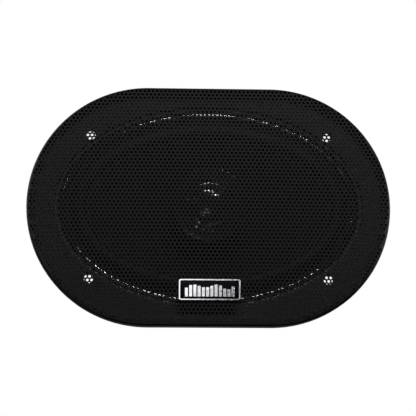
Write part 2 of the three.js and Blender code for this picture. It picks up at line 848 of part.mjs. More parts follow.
function capacitor() {
  const end = capacitorLength;
  const body = turned([
    [0, 0],
    [capacitorRadius - 0.4, 0],
    [capacitorRadius, 0.4],
    [capacitorRadius, end - 1.8],
    [capacitorRadius - 0.5, end - 1.4],
    [capacitorRadius, end - 1],
    [capacitorRadius - 0.4, end],
    [0, end],
  ], smallSteps);
  return body.rotateX(-Math.PI / 2).translate(capacitorX, capacitorY, capacitorZ);
}

add('crossover_capacitor', capacitor(), 'sleeve');

// Lead from under the tweeter, down the hollow post and out along the yoke's groove.
function leadRoute(side) {
  const y = side * (leadRadius + 0.25);
  const low = leadGrooveDepth / 2;
  const clear = magnetRadius + leadRadius + 1.5;
  return [
    [0, y, cupBottom - gap - 0.3],
    [0, y, (podFloor + poleTop) / 2],
    [0, y, nutRecessDepth],
    [0.4, y, leadGrooveDepth],
    [1.7, y, low + 0.15],
    [nutRecessRadius / 2, y, low],
    [yokeRadius, side * 1.2, low],
    [clear - 1.6, side * 1.2, low],
    [clear - 0.4, side * 1.3, low + 1.2],
    [clear, side * 1.5, low + 3.5],
  ];
}

const leadClear = magnetRadius + leadRadius + 1.5;
const tabSolder = tabBottom - gap - leadRadius;
const capacitorFar = capacitorY + capacitorLength;
const underCapacitor = capacitorZ - capacitorRadius - leadRadius - 0.9;

add('tweeter_lead_negative', wire([
  ...leadRoute(-1),
  [leadClear, -3, topPlateBottom],
  [leadClear + 3, -tabOffset + 0.6, tabSolder - 1],
  [tabStart + 4, -tabOffset, tabSolder],
], leadRadius, 28), 'blackWire');

add('tweeter_lead_positive', wire([
  ...leadRoute(1),
  [leadClear, 4, underCapacitor - 3],
  [capacitorX - 1, capacitorY - 3, underCapacitor],
  [capacitorX, capacitorFar - 4, underCapacitor],
  [capacitorX, capacitorFar + 1.8, underCapacitor + 1.2],
  [capacitorX, capacitorFar + 2.6, capacitorZ - 1.4],
  [capacitorX, capacitorFar + 1.6, capacitorZ],
  [capacitorX, capacitorFar + gap, capacitorZ],
], leadRadius, 36), 'redWire');

add('capacitor_lead', wire([
  [capacitorX, capacitorY - gap, capacitorZ],
  [capacitorX + 1, capacitorY - 2.5, capacitorZ],
  [tabStart + 2, tabOffset + 1.4, tabSolder + 0.1],
  [tabStart + 5, tabOffset, tabSolder + 0.1],
], 0.4, 12), 'tinsel');

['positive', 'negative'].forEach((name, i) => {
  const y = tabOffset * (i ? -1 : 1);
  const end = conePoint(0.28, paper);
  add(`tinsel_lead_${name}`, wire([
    [tinselPlace, y, tabTop + gap],
    [tinselPlace, y, floorHeight],
    [tinselPlace - 2, y, floorHeight + 3.6],
    [tinselPlace - 9, y * 0.97, floorHeight + 6],
    [end.length + 4, y * 0.92, end.z - 0.3],
    [end.length - 1, y * 0.85, end.z - tinselRadius - 0.8],
  ], tinselRadius, 16), 'tinsel');
});

export default parts;
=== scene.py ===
import math

import bmesh
import bpy
from mathutils import Matrix, Vector


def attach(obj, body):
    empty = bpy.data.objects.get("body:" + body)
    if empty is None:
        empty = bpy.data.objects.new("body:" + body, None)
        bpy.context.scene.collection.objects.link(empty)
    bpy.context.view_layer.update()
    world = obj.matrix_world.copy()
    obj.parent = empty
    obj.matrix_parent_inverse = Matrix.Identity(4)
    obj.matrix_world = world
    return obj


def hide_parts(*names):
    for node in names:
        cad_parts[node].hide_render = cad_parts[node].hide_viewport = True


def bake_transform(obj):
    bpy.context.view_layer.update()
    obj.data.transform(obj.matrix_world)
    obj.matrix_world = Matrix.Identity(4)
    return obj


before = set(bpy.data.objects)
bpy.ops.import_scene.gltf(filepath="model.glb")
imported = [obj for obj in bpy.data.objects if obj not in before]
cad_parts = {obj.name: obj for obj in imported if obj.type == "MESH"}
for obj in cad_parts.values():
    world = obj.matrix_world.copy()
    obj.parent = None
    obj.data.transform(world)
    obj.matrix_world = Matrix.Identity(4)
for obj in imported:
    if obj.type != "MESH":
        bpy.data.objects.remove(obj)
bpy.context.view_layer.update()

MM = 0.001

# ---- Sizes of the frame, in millimetres ----

RING_STRAIGHT = 28.0
RING_RADIUS = 55.5
MOUNT_HEIGHT = 46.0
RING_TOP = 50.5
FLANGE_TOP = 47.0
FLANGE_RADIUS = 52.0
MOUTH_LENGTH = 69.3
MOUTH_WIDTH = 45.3
LANDING_HEIGHT = 43.5
FLOOR_HEIGHT = 28.5
SCREW_PLACES = [(x, y) for x in (-54.8, 54.8) for y in (-33.4, 33.4)]
SCREW_RADIUS = 2.1

YOKE_RADIUS = 29.0
YOKE_THICKNESS = 4.5
MAGNET_RADIUS = 35.0
MAGNET_TOP = 16.5
PLATE_RADIUS = 31.0
PLATE_BORE = 13.7
PLATE_TOP = 20.5
POLE_RADIUS = 12.3
POLE_TOP = 21.0
POLE_BORE = 4.0
NUT_RECESS_RADIUS = 8.0
NUT_RECESS_DEPTH = 6.0
LEAD_GROOVE_WIDTH = 5.0
LEAD_GROOVE_DEPTH = 2.6

TERMINAL_X = 54.0
TERMINAL_Y = 6.0
BOARD_PIN_X = 40.5
LEAD_HOLE_X = 45.5
LEAD_HOLE_RADIUS = 2.5

GRILLE_RADIUS = 54.35
GRILLE_BEND = 1.3
GRILLE_SHEET = 0.7
CROWN_RADIUS = GRILLE_RADIUS - GRILLE_BEND
CROWN_BASE = 54.7
CROWN_RISE = 2.6
SKIRT_BOTTOM = 48.7
HOLE_PITCH = 1.906
HOLE_ROW = 1.6245
HOLE_RADIUS = 0.61
HOLE_SHIFT = (-0.48, -0.86)
FOLD_RADIUS = CROWN_RADIUS + GRILLE_BEND * math.pi / 2
WELD = 0.002

BADGE_Y = -39.1
BADGE_LENGTH = 27.7
BADGE_WIDTH = 9.4
STUD_REACH = 9.0

NECK_RADIUS = 12.95
NECK_HEIGHT = 33.4
PAPER = 0.6
LIP_HEIGHT = 45.1
CONE_LENGTH = 57.3
CONE_WIDTH = 33.3
LIP_WIDTH = 2.2
RUBBER = 0.6
ROLL_OUTER = 4.7
ROLL_WIDTH = 8.2
ROLL_HEIGHT = 3.4
ROLL_STEPS = 24
SURROUND_RIM = 1.1

DOME_BASE = 52.3
DOME_RADIUS = 8.7
DOME_RISE = 2.2
DOME_STEPS = 24
DOME_ROLL_WIDTH = 2.5
DOME_ROLL_HEIGHT = 0.6
DOME_ROLL_STEPS = 12
DOME_RIM = 12.2
FILM = 0.4

OVAL_STEPS = 224
RING_STEPS = 256
TURNED_STEPS = 96
CORNER_BENDS = 4


# ---- Section points: length, width, height and half of the straight part ----

def ellipse(length, width, z):
    return (length, width, z, 0.0)


def stadium(radius, z):
    return (radius, radius, z, RING_STRAIGHT)


def circle(radius, z):
    return (radius, radius, z, 0.0)


def inward(offset, z):
    """A point of the basket's mouth, moved in from its edge."""
    return ellipse(MOUTH_LENGTH - offset, MOUTH_WIDTH - offset, z)


def lathe_section(pairs):
    return [circle(radius, z) for radius, z in pairs]


def rounded(section, reach):
    """The section with its corners eased. reach is one length, or one for each corner."""
    count = len(section)
    reaches = reach if isinstance(reach, list) else [reach] * count
    line = []
    for index, corner in enumerate(section):
        here = Vector(corner)
        if not reaches[index]:
            line.append(tuple(here))
            continue
        before = Vector(section[index - 1]) - here
        after = Vector(section[(index + 1) % count]) - here
        start = here + before * min(reaches[index] / section_span(before), 0.48)
        end = here + after * min(reaches[index] / section_span(after), 0.48)
        for bend in range(CORNER_BENDS + 1):
            share = bend / CORNER_BENDS
            line.append(tuple(
                start * (1 - share) ** 2 + here * (2 * share * (1 - share)) + end * share ** 2
            ))
    return line


def section_span(step):
    return max(math.hypot(step[0] + step[3], step[2]), 1e-6)


# ---- Shaping tools ----

def mesh_from(points, faces, name="shape"):
    mesh = bpy.data.meshes.new(name)
    mesh.from_pydata(points, [], faces)
    return mesh


def tidied(mesh, outwards=True):
    """Merges doubles, drops faces with no area and turns a closed skin's faces outwards."""
    work = bmesh.new()
    work.from_mesh(mesh)
    bmesh.ops.remove_doubles(work, verts=work.verts, dist=1e-4)
    bmesh.ops.dissolve_degenerate(work, edges=work.edges, dist=1e-5)
    if outwards:
        bmesh.ops.recalc_face_normals(work, faces=work.faces)
    work.to_mesh(mesh)
    work.free()
    return mesh


def swept(section, steps=OVAL_STEPS, closed=True):
    """Carries a section round the oval. No corner falls on the Y axis, so flats keep their sizes."""
    half = math.pi / steps
    count = len(section)
    points = []
    for step in range(steps):
        angle = (2 * step + 1) * half
        across = math.cos(angle) / math.cos(half)
        along = math.sin(angle) / math.cos(half)
        for length, width, z, straight in section:
            points.append((length * across + math.copysign(straight, across), width * along, z))
    faces = []
    for step in range(steps):
        here, there = step * count, (step + 1) % steps * count
        for index in range(count if closed else count - 1):
            after = (index + 1) % count
            faces.append((here + index, there + index, there + after, here + after))
    return mesh_from(points, faces)


def carried(section, reach, steps=OVAL_STEPS, closed=True):
    """A solid ring: a section with eased corners, carried round."""
    return tidied(swept(rounded(section, reach), steps, closed))


def turned(pairs, reach, steps=TURNED_STEPS, closed=True):
    """Spins an outline of (radius, height) pairs about the Z axis."""
    return carried(lathe_section(pairs), reach, steps, closed)


def lofted(loops):
    """A closed skin through loops of points, with a flat end at the first and the last."""
    count = len(loops[0])
    faces = [tuple(range(count))[::-1]]
    for level in range(len(loops) - 1):
        here, there = level * count, (level + 1) * count
        for index in range(count):
            after = (index + 1) % count
            faces.append((here + index, here + after, there + after, there + index))
    last = (len(loops) - 1) * count
    faces.append(tuple(range(last, last + count)))
    return tidied(mesh_from([point for loop in loops for point in loop], faces))


def round_corner_loop(length, width, radius, z, steps=6):
    """A rectangle with round corners, lying flat at a height."""
    loop = []
    for corner in range(4):
        middle_x = (length / 2 - radius) * (1 if corner in (0, 3) else -1)
        middle_y = (width / 2 - radius) * (1 if corner in (0, 1) else -1)
        for step in range(steps + 1):
            angle = (corner + step / steps) * math.pi / 2
            loop.append((middle_x + radius * math.cos(angle), middle_y + radius * math.sin(angle), z))
    return loop


def pillar(radius, x, y, bottom, top, sides=32):
    """A plain upright column, or the cutter of a round hole."""
    angles = [2 * math.pi * i / sides for i in range(sides)]
    return lofted([
        [(x + radius * math.cos(angle), y + radius * math.sin(angle), z) for angle in angles]
        for z in (bottom, top)
    ])


def screw_holes(radius, bottom, top):
    """Cutters of the four mounting holes."""
    return [pillar(radius, x, y, bottom, top) for x, y in SCREW_PLACES]


def block(x0, x1, y0, y1, z0, z1):
    corners = [(x0, y0), (x1, y0), (x1, y1), (x0, y1)]
    return lofted([[(x, y, z) for x, y in corners] for z in (z0, z1)])


def gathered(meshes):
    """Several separate shapes in one mesh."""
    work = bmesh.new()
    for mesh in meshes:
        work.from_mesh(mesh)
    whole = bpy.data.meshes.new("gathered")
    work.to_mesh(whole)
    work.free()
    return whole


def evaluated(holder):
    """The finished mesh of an object with modifiers, and the object gone."""
    bpy.context.view_layer.update()
    depsgraph = bpy.context.evaluated_depsgraph_get()
    made = bpy.data.meshes.new_from_object(holder.evaluated_get(depsgraph))
    bpy.data.objects.remove(holder)
    return made


def placed_object(name, data):
    """An object in the scene from a mesh, lamp or camera."""
    holder = bpy.data.objects.new(name, data)
    bpy.context.scene.collection.objects.link(holder)
    return holder


def cut(mesh, cutters):
    """Takes the cutters, which don't touch each other, out of the mesh."""
    body = placed_object("cut_body", mesh)
    tool = placed_object("cut_tool", gathered(cutters))
    modifier = body.modifiers.new("cut", "BOOLEAN")
    modifier.operation = "DIFFERENCE"
    modifier.solver = "EXACT"
    modifier.object = tool
    made = evaluated(body)
    bpy.data.objects.remove(tool)
    return tidied(made)


def moved(mesh, *matrices):
    for matrix in matrices:
        mesh.transform(matrix)
    return mesh


# ---- Node tree writing ----

class Value:
    """A node's output that adds, multiplies and compares as numbers do."""

    def __init__(self, tree, source):
        self.tree, self.socket = tree, first_output(source)

    def math(self, operation, *others):
        maths = self.tree.nodes.new("ShaderNodeMath")
        maths.operation = operation
        for slot, term in zip(maths.inputs, (self, *others)):
            plug(self.tree, slot, term)
        return Value(self.tree, maths)

    def __add__(self, other):
        return self.math("ADD", other)

    def __sub__(self, other):
        return self.math("SUBTRACT", other)

    def __mul__(self, other):
        return self.math("MULTIPLY", other)

    def __truediv__(self, other):
        return self.math("DIVIDE", other)

    def __abs__(self):
        return self.math("ABSOLUTE")

    def __gt__(self, other):
        return self.math("GREATER_THAN", other)

    def __lt__(self, other):
        return self.math("LESS_THAN", other)


def first_output(term):
    """The socket that a value or a node puts out. Anything else stays what it is."""
    if isinstance(term, Value):
        return term.socket
    return term.outputs[0] if isinstance(term, bpy.types.Node) else term


def plug(tree, slot, term):
    """Links a value, node or socket to an input, or sets the input to a constant."""
    term = first_output(term)
    if isinstance(term, bpy.types.NodeSocket):
        tree.links.new(term, slot)
    else:
        slot.default_value = term


def node(tree, kind, settings=None, **inputs):
    """A new node. Input names are written with underscores for spaces."""
    new = tree.nodes.new(kind)
    for key, value in (settings or {}).items():
        setattr(new, key, value)
    for key, value in inputs.items():
        wanted = key.replace("_", " ")
        plug(tree, next(s for s in new.inputs if s.name == wanted and s.enabled), value)
    return new


def new_tree(name, kind, takes, gives):
    """A node group, its inputs as values by name, and its output node. takes is (name, type, value)."""
    tree = bpy.data.node_groups.new(name, kind)
    for label, socket, value in takes:
        made = tree.interface.new_socket(label, in_out="INPUT", socket_type="NodeSocket" + socket)
        if value is not None:
            made.default_value = value
    for label, socket in gives:
        tree.interface.new_socket(label, in_out="OUTPUT", socket_type="NodeSocket" + socket)
    entry = tree.nodes.new("NodeGroupInput")
    values = {label: Value(tree, entry.outputs[label]) for label, _, _ in takes}
    return tree, values, tree.nodes.new("NodeGroupOutput")


def coordinates(tree, vector):
    """The X, Y and Z of a vector, as values."""
    return [Value(tree, part) for part in node(tree, "ShaderNodeSeparateXYZ", Vector=vector).outputs]


def vector_of(tree, x=0.0, y=0.0, z=0.0):
    return node(tree, "ShaderNodeCombineXYZ", X=x, Y=y, Z=z)


def put_together(tree, *parts):
    whole = tree.nodes.new("GeometryNodeJoinGeometry")
    for part in parts:
        plug(tree, whole.inputs[0], part)
    return whole


def put_out(tree, gives, shape, material):
    """Ends a geometry tree: its instances made real, in one material."""
    real = node(tree, "GeometryNodeRealizeInstances", Geometry=shape)
    plug(tree, gives.inputs[0], node(tree, "GeometryNodeSetMaterial", Geometry=real, Material=material))
    return tree


def grown(base, tree, **settings):
    """Runs a geometry tree on a mesh, with its inputs set by name, and returns the plain mesh."""
    holder = placed_object("grown", base)
    modifier = holder.modifiers.new("grow", "NODES")
    modifier.node_group = tree
    for item in tree.interface.items_tree:
        key = item.name.replace(" ", "_").lower()
        if item.in_out == "INPUT" and key in settings:
            modifier[item.identifier] = settings[key]
    return evaluated(holder)


# ---- Shared shader groups ----

def object_point(tree):
    return tree.nodes.new("ShaderNodeTexCoord").outputs["Object"]


PATTERN_TAKES = [("Size", "Float", 1.0), ("Contrast", "Float", 1.0)]
PATTERN_GIVES = [("Shade", "Float"), ("Height", "Float")]


def noise(tree, point, scale, detail=3.0, roughness=0.55):
    return Value(tree, node(
        tree, "ShaderNodeTexNoise", Vector=point, Scale=scale, Detail=detail, Roughness=roughness,
    ))


def stretched(tree, point, scale):
    return node(tree, "ShaderNodeMapping", Vector=point, Scale=scale)


def spread(value, contrast):
    """Pushes a noise value away from its middle and keeps it between 0 and 1."""
    wide = (value - 0.5) * contrast + 0.5
    return wide.math("MAXIMUM", 0.0).math("MINIMUM", 1.0)


def pattern_group(name, draw):
    """A group that puts out a Shade and a Height. Size is the pattern's own length in metres."""
    tree, takes, gives = new_tree(name, "ShaderNodeTree", PATTERN_TAKES, PATTERN_GIVES)
    scale = takes["Size"].math("POWER", -1.0)
    shade, height = draw(tree, object_point(tree), scale)
    plug(tree, gives.inputs["Shade"], spread(shade, takes["Contrast"]))
    plug(tree, gives.inputs["Height"], height)
    return tree


def draw_grain(tree, point, scale):
    fine = noise(tree, point, scale)
    broad = noise(tree, point, scale * 0.08, 2.0)
    return fine * 0.5 + broad * 0.5, fine


def draw_turning(tree, point, scale):
    """Fine rings about the Z axis, as a lathe leaves, broken by a little mottle."""
    x, y, z = coordinates(tree, point)
    radius = (x * x + y * y).math("SQRT")
    along = vector_of(tree, radius, z)
    rings = noise(tree, along, scale, 2.0)
    broad = noise(tree, point, scale * 0.03, 2.0)
    return rings * 0.6 + broad * 0.4, rings


def draw_weave(tree, point, scale):
    """Crossed threads, one over one, on a plain cloth lying in the XY plane."""
    x, y, _ = coordinates(tree, point)
    turn = scale * math.pi
    warp = abs((x * turn).math("SINE"))
    weft = abs((y * turn).math("SINE"))
    over = ((x * turn).math("SINE") * (y * turn).math("SINE")) > 0.0
    height = warp * over + weft * (over * -1.0 + 1.0)
    return height * 0.6 + noise(tree, point, scale * 0.2) * 0.4, height


def draw_fibre(tree, point, scale):
    """Short pulp fibres lying every way, over soft clouds."""
    long_x = noise(tree, stretched(tree, point, (0.25, 1.0, 1.0)), scale, 4.0, 0.7)
    long_y = noise(tree, stretched(tree, point, (1.0, 0.25, 1.0)), scale * 1.3, 4.0, 0.7)
    broad = noise(tree, point, scale * 0.05, 2.0)
    fibres = long_x.math("MAXIMUM", long_y)
    return fibres * 0.6 + broad * 0.4, fibres


def draw_cells(tree, point, scale):
    """Open foam cells."""
    cells = Value(tree, node(tree, "ShaderNodeTexVoronoi", Vector=point, Scale=scale).outputs["Distance"])
    return cells * 0.7 + noise(tree, point, scale * 0.2) * 0.3, cells


def draw_winding(tree, point, scale):
    """Turns of wire stacked along Z."""
    z = coordinates(tree, point)[2]
    wire = abs((z * scale * math.pi).math("SINE"))
    return wire * 0.7 + noise(tree, point, scale * 0.3) * 0.3, wire


def edge_wear_and_sheen_group():
    """A mask along edges that stick out, broken up by noise: bare wear, and on the grille steel a painted
    highlight along the hole rims.
    """
    tree, takes, gives = new_tree(
        "Edge wear", "ShaderNodeTree",
        [("Edge", "Float", 0.5), ("Amount", "Float", 0.5)], [("Mask", "Float")],
    )
    edge = (takes["Edge"] - 0.53) * 9.0
    broken = noise(tree, object_point(tree), 900.0, 4.0)
    mask = (edge + (broken - 0.55)).math("MAXIMUM", 0.0).math("MINIMUM", 1.0)
    plug(tree, gives.inputs["Mask"], mask * takes["Amount"])
    return tree


def dust_group():
    """Pale dust lying on faces that look up, in soft patches."""
    tree, takes, gives = new_tree(
        "Dust", "ShaderNodeTree", [("Amount", "Float", 0.1)], [("Mask", "Float")],
    )
    facing = tree.nodes.new("ShaderNodeNewGeometry").outputs["Normal"]
    up = coordinates(tree, facing)[2]
    point = object_point(tree)
    specks = spread(noise(tree, point, 2600.0, 5.0, 0.7), 5.0)
    patches = noise(tree, point, 45.0, 3.0)
    mask = up.math("MAXIMUM", 0.0) * patches * specks
    plug(tree, gives.inputs["Mask"], mask * takes["Amount"])
    return tree


PATTERNS = {
    "grain": pattern_group("Grain", draw_grain),
    "turning": pattern_group("Turning marks", draw_turning),
    "weave": pattern_group("Cloth weave", draw_weave),
    "fibre": pattern_group("Paper fibre", draw_fibre),
    "cells": pattern_group("Foam cells", draw_cells),
    "winding": pattern_group("Wire winding", draw_winding),
}
EDGE_WEAR_AND_SHEEN = edge_wear_and_sheen_group()
DUST = dust_group()


# ---- Finishes ----

WORN_ROUGHNESS = 0.35
DUST_COLOUR = (0.32, 0.31, 0.29)
DUST_ROUGHNESS = 0.9


def blended(tree, factor, first, second, kind="RGBA"):
    mix = tree.nodes.new("ShaderNodeMix")
    mix.data_type = kind
    ends = {"RGBA": (6, 7, 2), "FLOAT": (2, 3, 0)}[kind]
    plug(tree, mix.inputs[0], factor)
    plug(tree, mix.inputs[ends[0]], first)
    plug(tree, mix.inputs[ends[1]], second)
    return mix.outputs[ends[2]]


def grouped(tree, group, **inputs):
    holder = tree.nodes.new("ShaderNodeGroup")
    holder.node_tree = group
    for key, value in inputs.items():
        plug(tree, holder.inputs[key], value)
    return holder


def finish(pattern, size, dark, pale, rough, metallic=0.0, bump=0.2, contrast=1.0,
           wear_and_sheen=None, dust=0.0, **constants):
    """One material: its pattern varies colour, roughness and relief, then wear and dust lie on top.

    dark, pale and rough are the pattern's two ends, and wear_and_sheen is the edge colour and its amount:
    bare wear, and on the grille steel a painted highlight along the hole rims.
    """
    material = bpy.data.materials.new("finish")
    material.use_nodes = True
    tree = material.node_tree
    shader = tree.nodes["Principled BSDF"]
    shader.inputs["Metallic"].default_value = metallic
    for key, value in constants.items():
        shader.inputs[key.replace("_", " ")].default_value = value
    drawn = grouped(tree, PATTERNS[pattern], Size=size, Contrast=contrast)
    colour = blended(tree, drawn.outputs["Shade"], (*dark, 1.0), (*pale, 1.0))
    roughness = blended(tree, drawn.outputs["Shade"], rough[0], rough[1], "FLOAT")
    # The edge mark: bare wear, and on the grille steel a painted highlight along the hole rims.
    if wear_and_sheen:
        edge = tree.nodes.new("ShaderNodeNewGeometry").outputs["Pointiness"]
        worn_and_lit = grouped(tree, EDGE_WEAR_AND_SHEEN, Edge=edge, Amount=wear_and_sheen[1])
        colour = blended(tree, worn_and_lit.outputs["Mask"], colour, (*wear_and_sheen[0], 1.0))
        roughness = blended(tree, worn_and_lit.outputs["Mask"], roughness, WORN_ROUGHNESS, "FLOAT")
    if dust:
        dusty = grouped(tree, DUST, Amount=dust)
        colour = blended(tree, dusty.outputs["Mask"], colour, (*DUST_COLOUR, 1.0))
        roughness = blended(tree, dusty.outputs["Mask"], roughness, DUST_ROUGHNESS, "FLOAT")
    relief = node(tree, "ShaderNodeBump", Strength=bump, Distance=size * 0.5,
                  Height=drawn.outputs["Height"])
    plug(tree, shader.inputs["Base Color"], colour)
    plug(tree, shader.inputs["Roughness"], roughness)
    plug(tree, shader.inputs["Normal"], relief.outputs["Normal"])
    return material


STEEL_GREY = (0.35, 0.35, 0.36)

FINISHES = {
    "zinc_steel": finish(
        "turning", 0.00025, (0.42, 0.43, 0.44), (0.66, 0.66, 0.63), (0.26, 0.42),
        metallic=1.0, bump=0.12, contrast=1.6, wear_and_sheen=((0.8, 0.8, 0.78), 0.5), dust=0.06),
    "ferrite": finish(
        "grain", 0.0004, (0.022, 0.021, 0.022), (0.06, 0.058, 0.06), (0.5, 0.8),
        bump=0.35, contrast=2.2, wear_and_sheen=((0.11, 0.11, 0.115), 0.7), dust=0.12),
    "painted_steel": finish(
        "grain", 0.0007, (0.008, 0.008, 0.009), (0.016, 0.016, 0.018), (0.3, 0.42),
        bump=0.1, wear_and_sheen=(STEEL_GREY, 0.12), dust=0.08, Coat_Weight=0.3, Coat_Roughness=0.2),
    "foam": finish(
        "cells", 0.0006, (0.006, 0.006, 0.007), (0.03, 0.03, 0.032), (0.9, 1.0),
        bump=0.9, contrast=1.8),
    "aluminium_foil": finish(
        "turning", 0.0004, (0.6, 0.61, 0.63), (0.78, 0.79, 0.8), (0.22, 0.38),
        metallic=1.0, bump=0.1),
    "copper_wire": finish(
        "winding", 0.00028, (0.32, 0.11, 0.045), (0.72, 0.3, 0.16), (0.2, 0.35),
        metallic=1.0, bump=0.9, Coat_Weight=0.5),
    "cone_paper": finish(
        "fibre", 0.0005, (0.002, 0.002, 0.0021), (0.006, 0.006, 0.0063), (0.65, 0.85),
        bump=0.5, contrast=2.2, Specular_IOR_Level=0.12),
    "rubber_roll": finish(
        "grain", 0.0005, (0.0016, 0.0016, 0.0016), (0.003, 0.003, 0.0031), (0.5, 0.65),
        bump=0.12, Specular_IOR_Level=0.2),
    "gloss_black_plastic": finish(
        "grain", 0.003, (0.006, 0.005, 0.005), (0.011, 0.01, 0.0095), (0.08, 0.14),
        bump=0.02, Coat_Weight=0.6, Coat_Roughness=0.06),
    "spider_cloth": finish(
        "weave", 0.0007, (0.19, 0.095, 0.028), (0.46, 0.28, 0.1), (0.75, 0.9),
        bump=0.8, contrast=1.3, Sheen_Weight=0.2),
    "black_plastic": finish(
        "grain", 0.0003, (0.003, 0.003, 0.0033), (0.006, 0.006, 0.0065), (0.5, 0.65),
        bump=0.15, wear_and_sheen=((0.035, 0.035, 0.037), 0.2), dust=0.006, Specular_IOR_Level=0.2),
    "ring_plastic": finish(
        "grain", 0.0003, (0.004, 0.004, 0.0044), (0.008, 0.008, 0.0086), (0.4, 0.55),
        bump=0.15, wear_and_sheen=((0.05, 0.05, 0.052), 0.2), dust=0.005, Specular_IOR_Level=0.3),
    "bead_gloss": finish(
        "grain", 0.002, (0.006, 0.006, 0.006), (0.011, 0.011, 0.011), (0.06, 0.1),
        bump=0.01, IOR=1.9, Coat_Weight=1.0, Coat_Roughness=0.05),
    "badge_black": finish(
        "grain", 0.001, (0.001, 0.001, 0.0015), (0.002, 0.002, 0.003), (0.35, 0.45),
        bump=0.03, Specular_IOR_Level=0.02),
    "bright_nickel": finish(
        "grain", 0.0008, (0.6, 0.58, 0.54), (0.75, 0.72, 0.68), (0.1, 0.2),
        metallic=1.0, bump=0.04),
    "badge_chrome": finish(
        "grain", 0.002, (0.76, 0.77, 0.79), (0.86, 0.86, 0.88), (0.09, 0.14),
        metallic=1.0, bump=0.02),
    # The grille's edge mark lightens every hole rim: a painted highlight.
    "grille_steel": finish(
        "grain", 0.00035, (0.0013, 0.0013, 0.0016), (0.0029, 0.0029, 0.0035), (0.6, 0.7),
        bump=0.2, wear_and_sheen=((0.02, 0.02, 0.022), 0.06), dust=0.002, Specular_IOR_Level=0.07),
    "brown_laminate": finish(
        "fibre", 0.0006, (0.13, 0.062, 0.026), (0.26, 0.135, 0.06), (0.4, 0.6),
        bump=0.2, contrast=1.6, wear_and_sheen=((0.4, 0.26, 0.15), 0.5)),
    "tinned_brass": finish(
        "grain", 0.0006, (0.58, 0.53, 0.42), (0.76, 0.73, 0.66), (0.2, 0.4),
        metallic=1.0, bump=0.1, contrast=1.8, wear_and_sheen=((0.75, 0.55, 0.25), 0.5)),
    "capacitor_sleeve": finish(
        "grain", 0.002, (0.008, 0.014, 0.045), (0.014, 0.026, 0.075), (0.2, 0.35),
        bump=0.08, Coat_Weight=0.3),
    "red_insulation": finish(
        "grain", 0.0008, (0.3, 0.012, 0.01), (0.42, 0.025, 0.02), (0.35, 0.5),
        bump=0.08),
    "black_insulation": finish(
        "grain", 0.0008, (0.01, 0.01, 0.01), (0.018, 0.018, 0.019), (0.35, 0.5),
        bump=0.08),
    "copper_braid": finish(
        "grain", 0.0002, (0.4, 0.19, 0.08), (0.78, 0.46, 0.25), (0.25, 0.5),
        metallic=1.0, bump=0.4, contrast=2.0),
}
for finish_name, material in FINISHES.items():
    material.name = finish_name


# ---- Putting pieces in the frame ----

def dressed(name, mesh, slot, *nodes, sharp=32.0, coat=None):
    """Turns a finished mesh to metres, gives it its finish and hides the frame nodes it stands for."""
    mesh.transform(Matrix.Scale(MM, 4))
    mesh.name = name
    mesh.materials.clear()
    mesh.materials.append(FINISHES[coat or slot])
    mesh.shade_smooth()
    mesh.set_sharp_from_angle(angle=math.radians(sharp))
    piece = placed_object(name, mesh)
    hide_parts(*nodes)
    return piece


def fixed(name, mesh, slot, body, *nodes, sharp=32.0, coat=None):
    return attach(dressed(name, mesh, slot, *nodes, sharp=sharp, coat=coat), body)


def eased(node_name, width, segments=2):
    """A frame node's own shape with its edges eased by a fine bevel."""
    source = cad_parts[node_name].data.copy()
    source.transform(Matrix.Scale(1 / MM, 4))
    source.materials.clear()
    holder = placed_object("eased", tidied(source, outwards=False))
    bevel = holder.modifiers.new("ease", "BEVEL")
    bevel.width = width
    bevel.segments = segments
    bevel.limit_method = "ANGLE"
    bevel.angle_limit = math.radians(40)
    bevel.use_clamp_overlap = True
    return tidied(evaluated(holder), outwards=False)


# ---- Motor ----

def yoke():
    body = turned([
        (NUT_RECESS_RADIUS, 0), (YOKE_RADIUS, 0), (YOKE_RADIUS, YOKE_THICKNESS),
        (POLE_RADIUS, YOKE_THICKNESS), (POLE_RADIUS, POLE_TOP), (POLE_BORE, POLE_TOP),
        (POLE_BORE, NUT_RECESS_DEPTH), (NUT_RECESS_RADIUS, NUT_RECESS_DEPTH),
    ], [0.4, 0.9, 0.5, 0.2, 0.6, 0.3, 0.1, 0.1])
    side = LEAD_GROOVE_WIDTH / 2
    return cut(body, [block(NUT_RECESS_RADIUS - 1, YOKE_RADIUS + 1, -side, side, -1, LEAD_GROOVE_DEPTH)])


def washer(bore, radius, bottom, top, reach):
    return turned([(bore, bottom), (radius, bottom), (radius, top), (bore, top)], reach)


fixed("yoke_plate", yoke(), "zinc_steel", "frame", "t_yoke")
fixed("magnet", washer(PLATE_BORE + 2.3, MAGNET_RADIUS, YOKE_THICKNESS, MAGNET_TOP, [0.4, 1.1, 1.1, 0.4]),
      "ferrite", "frame", "magnet_ring")
fixed("front_plate", washer(PLATE_BORE, PLATE_RADIUS, MAGNET_TOP, PLATE_TOP, 0.4),
      "zinc_steel", "frame", "top_plate")


# ---- Basket ----

WINDOW_COUNT = 6
WINDOW_HALF_ANGLE = math.radians(22)
WINDOW_HEIGHT = 10.0
WINDOW_CORNER = 2.4
WINDOW_MIDDLE = 35.5
WALL_RADIUS = 50.0
SEAT_HOLE = PLATE_BORE + 1.8


def window_cutter(middle):
    """A curved block with round corners that opens one window in the basket's wall.

    Its outline is bent round the wall, as if the wall had one mean radius.
    """
    outline = round_corner_loop(2 * WINDOW_HALF_ANGLE * WALL_RADIUS, WINDOW_HEIGHT, WINDOW_CORNER, 0.0)
    loops = []
    for length, width in ((44.0, 32.0), (77.3, 53.3)):
        loop = []
        for u, v, _ in outline:
            angle = middle + u / WALL_RADIUS
            loop.append((length * math.cos(angle), width * math.sin(angle), WINDOW_MIDDLE + v))
        loops.append(loop)
    return lofted(loops)


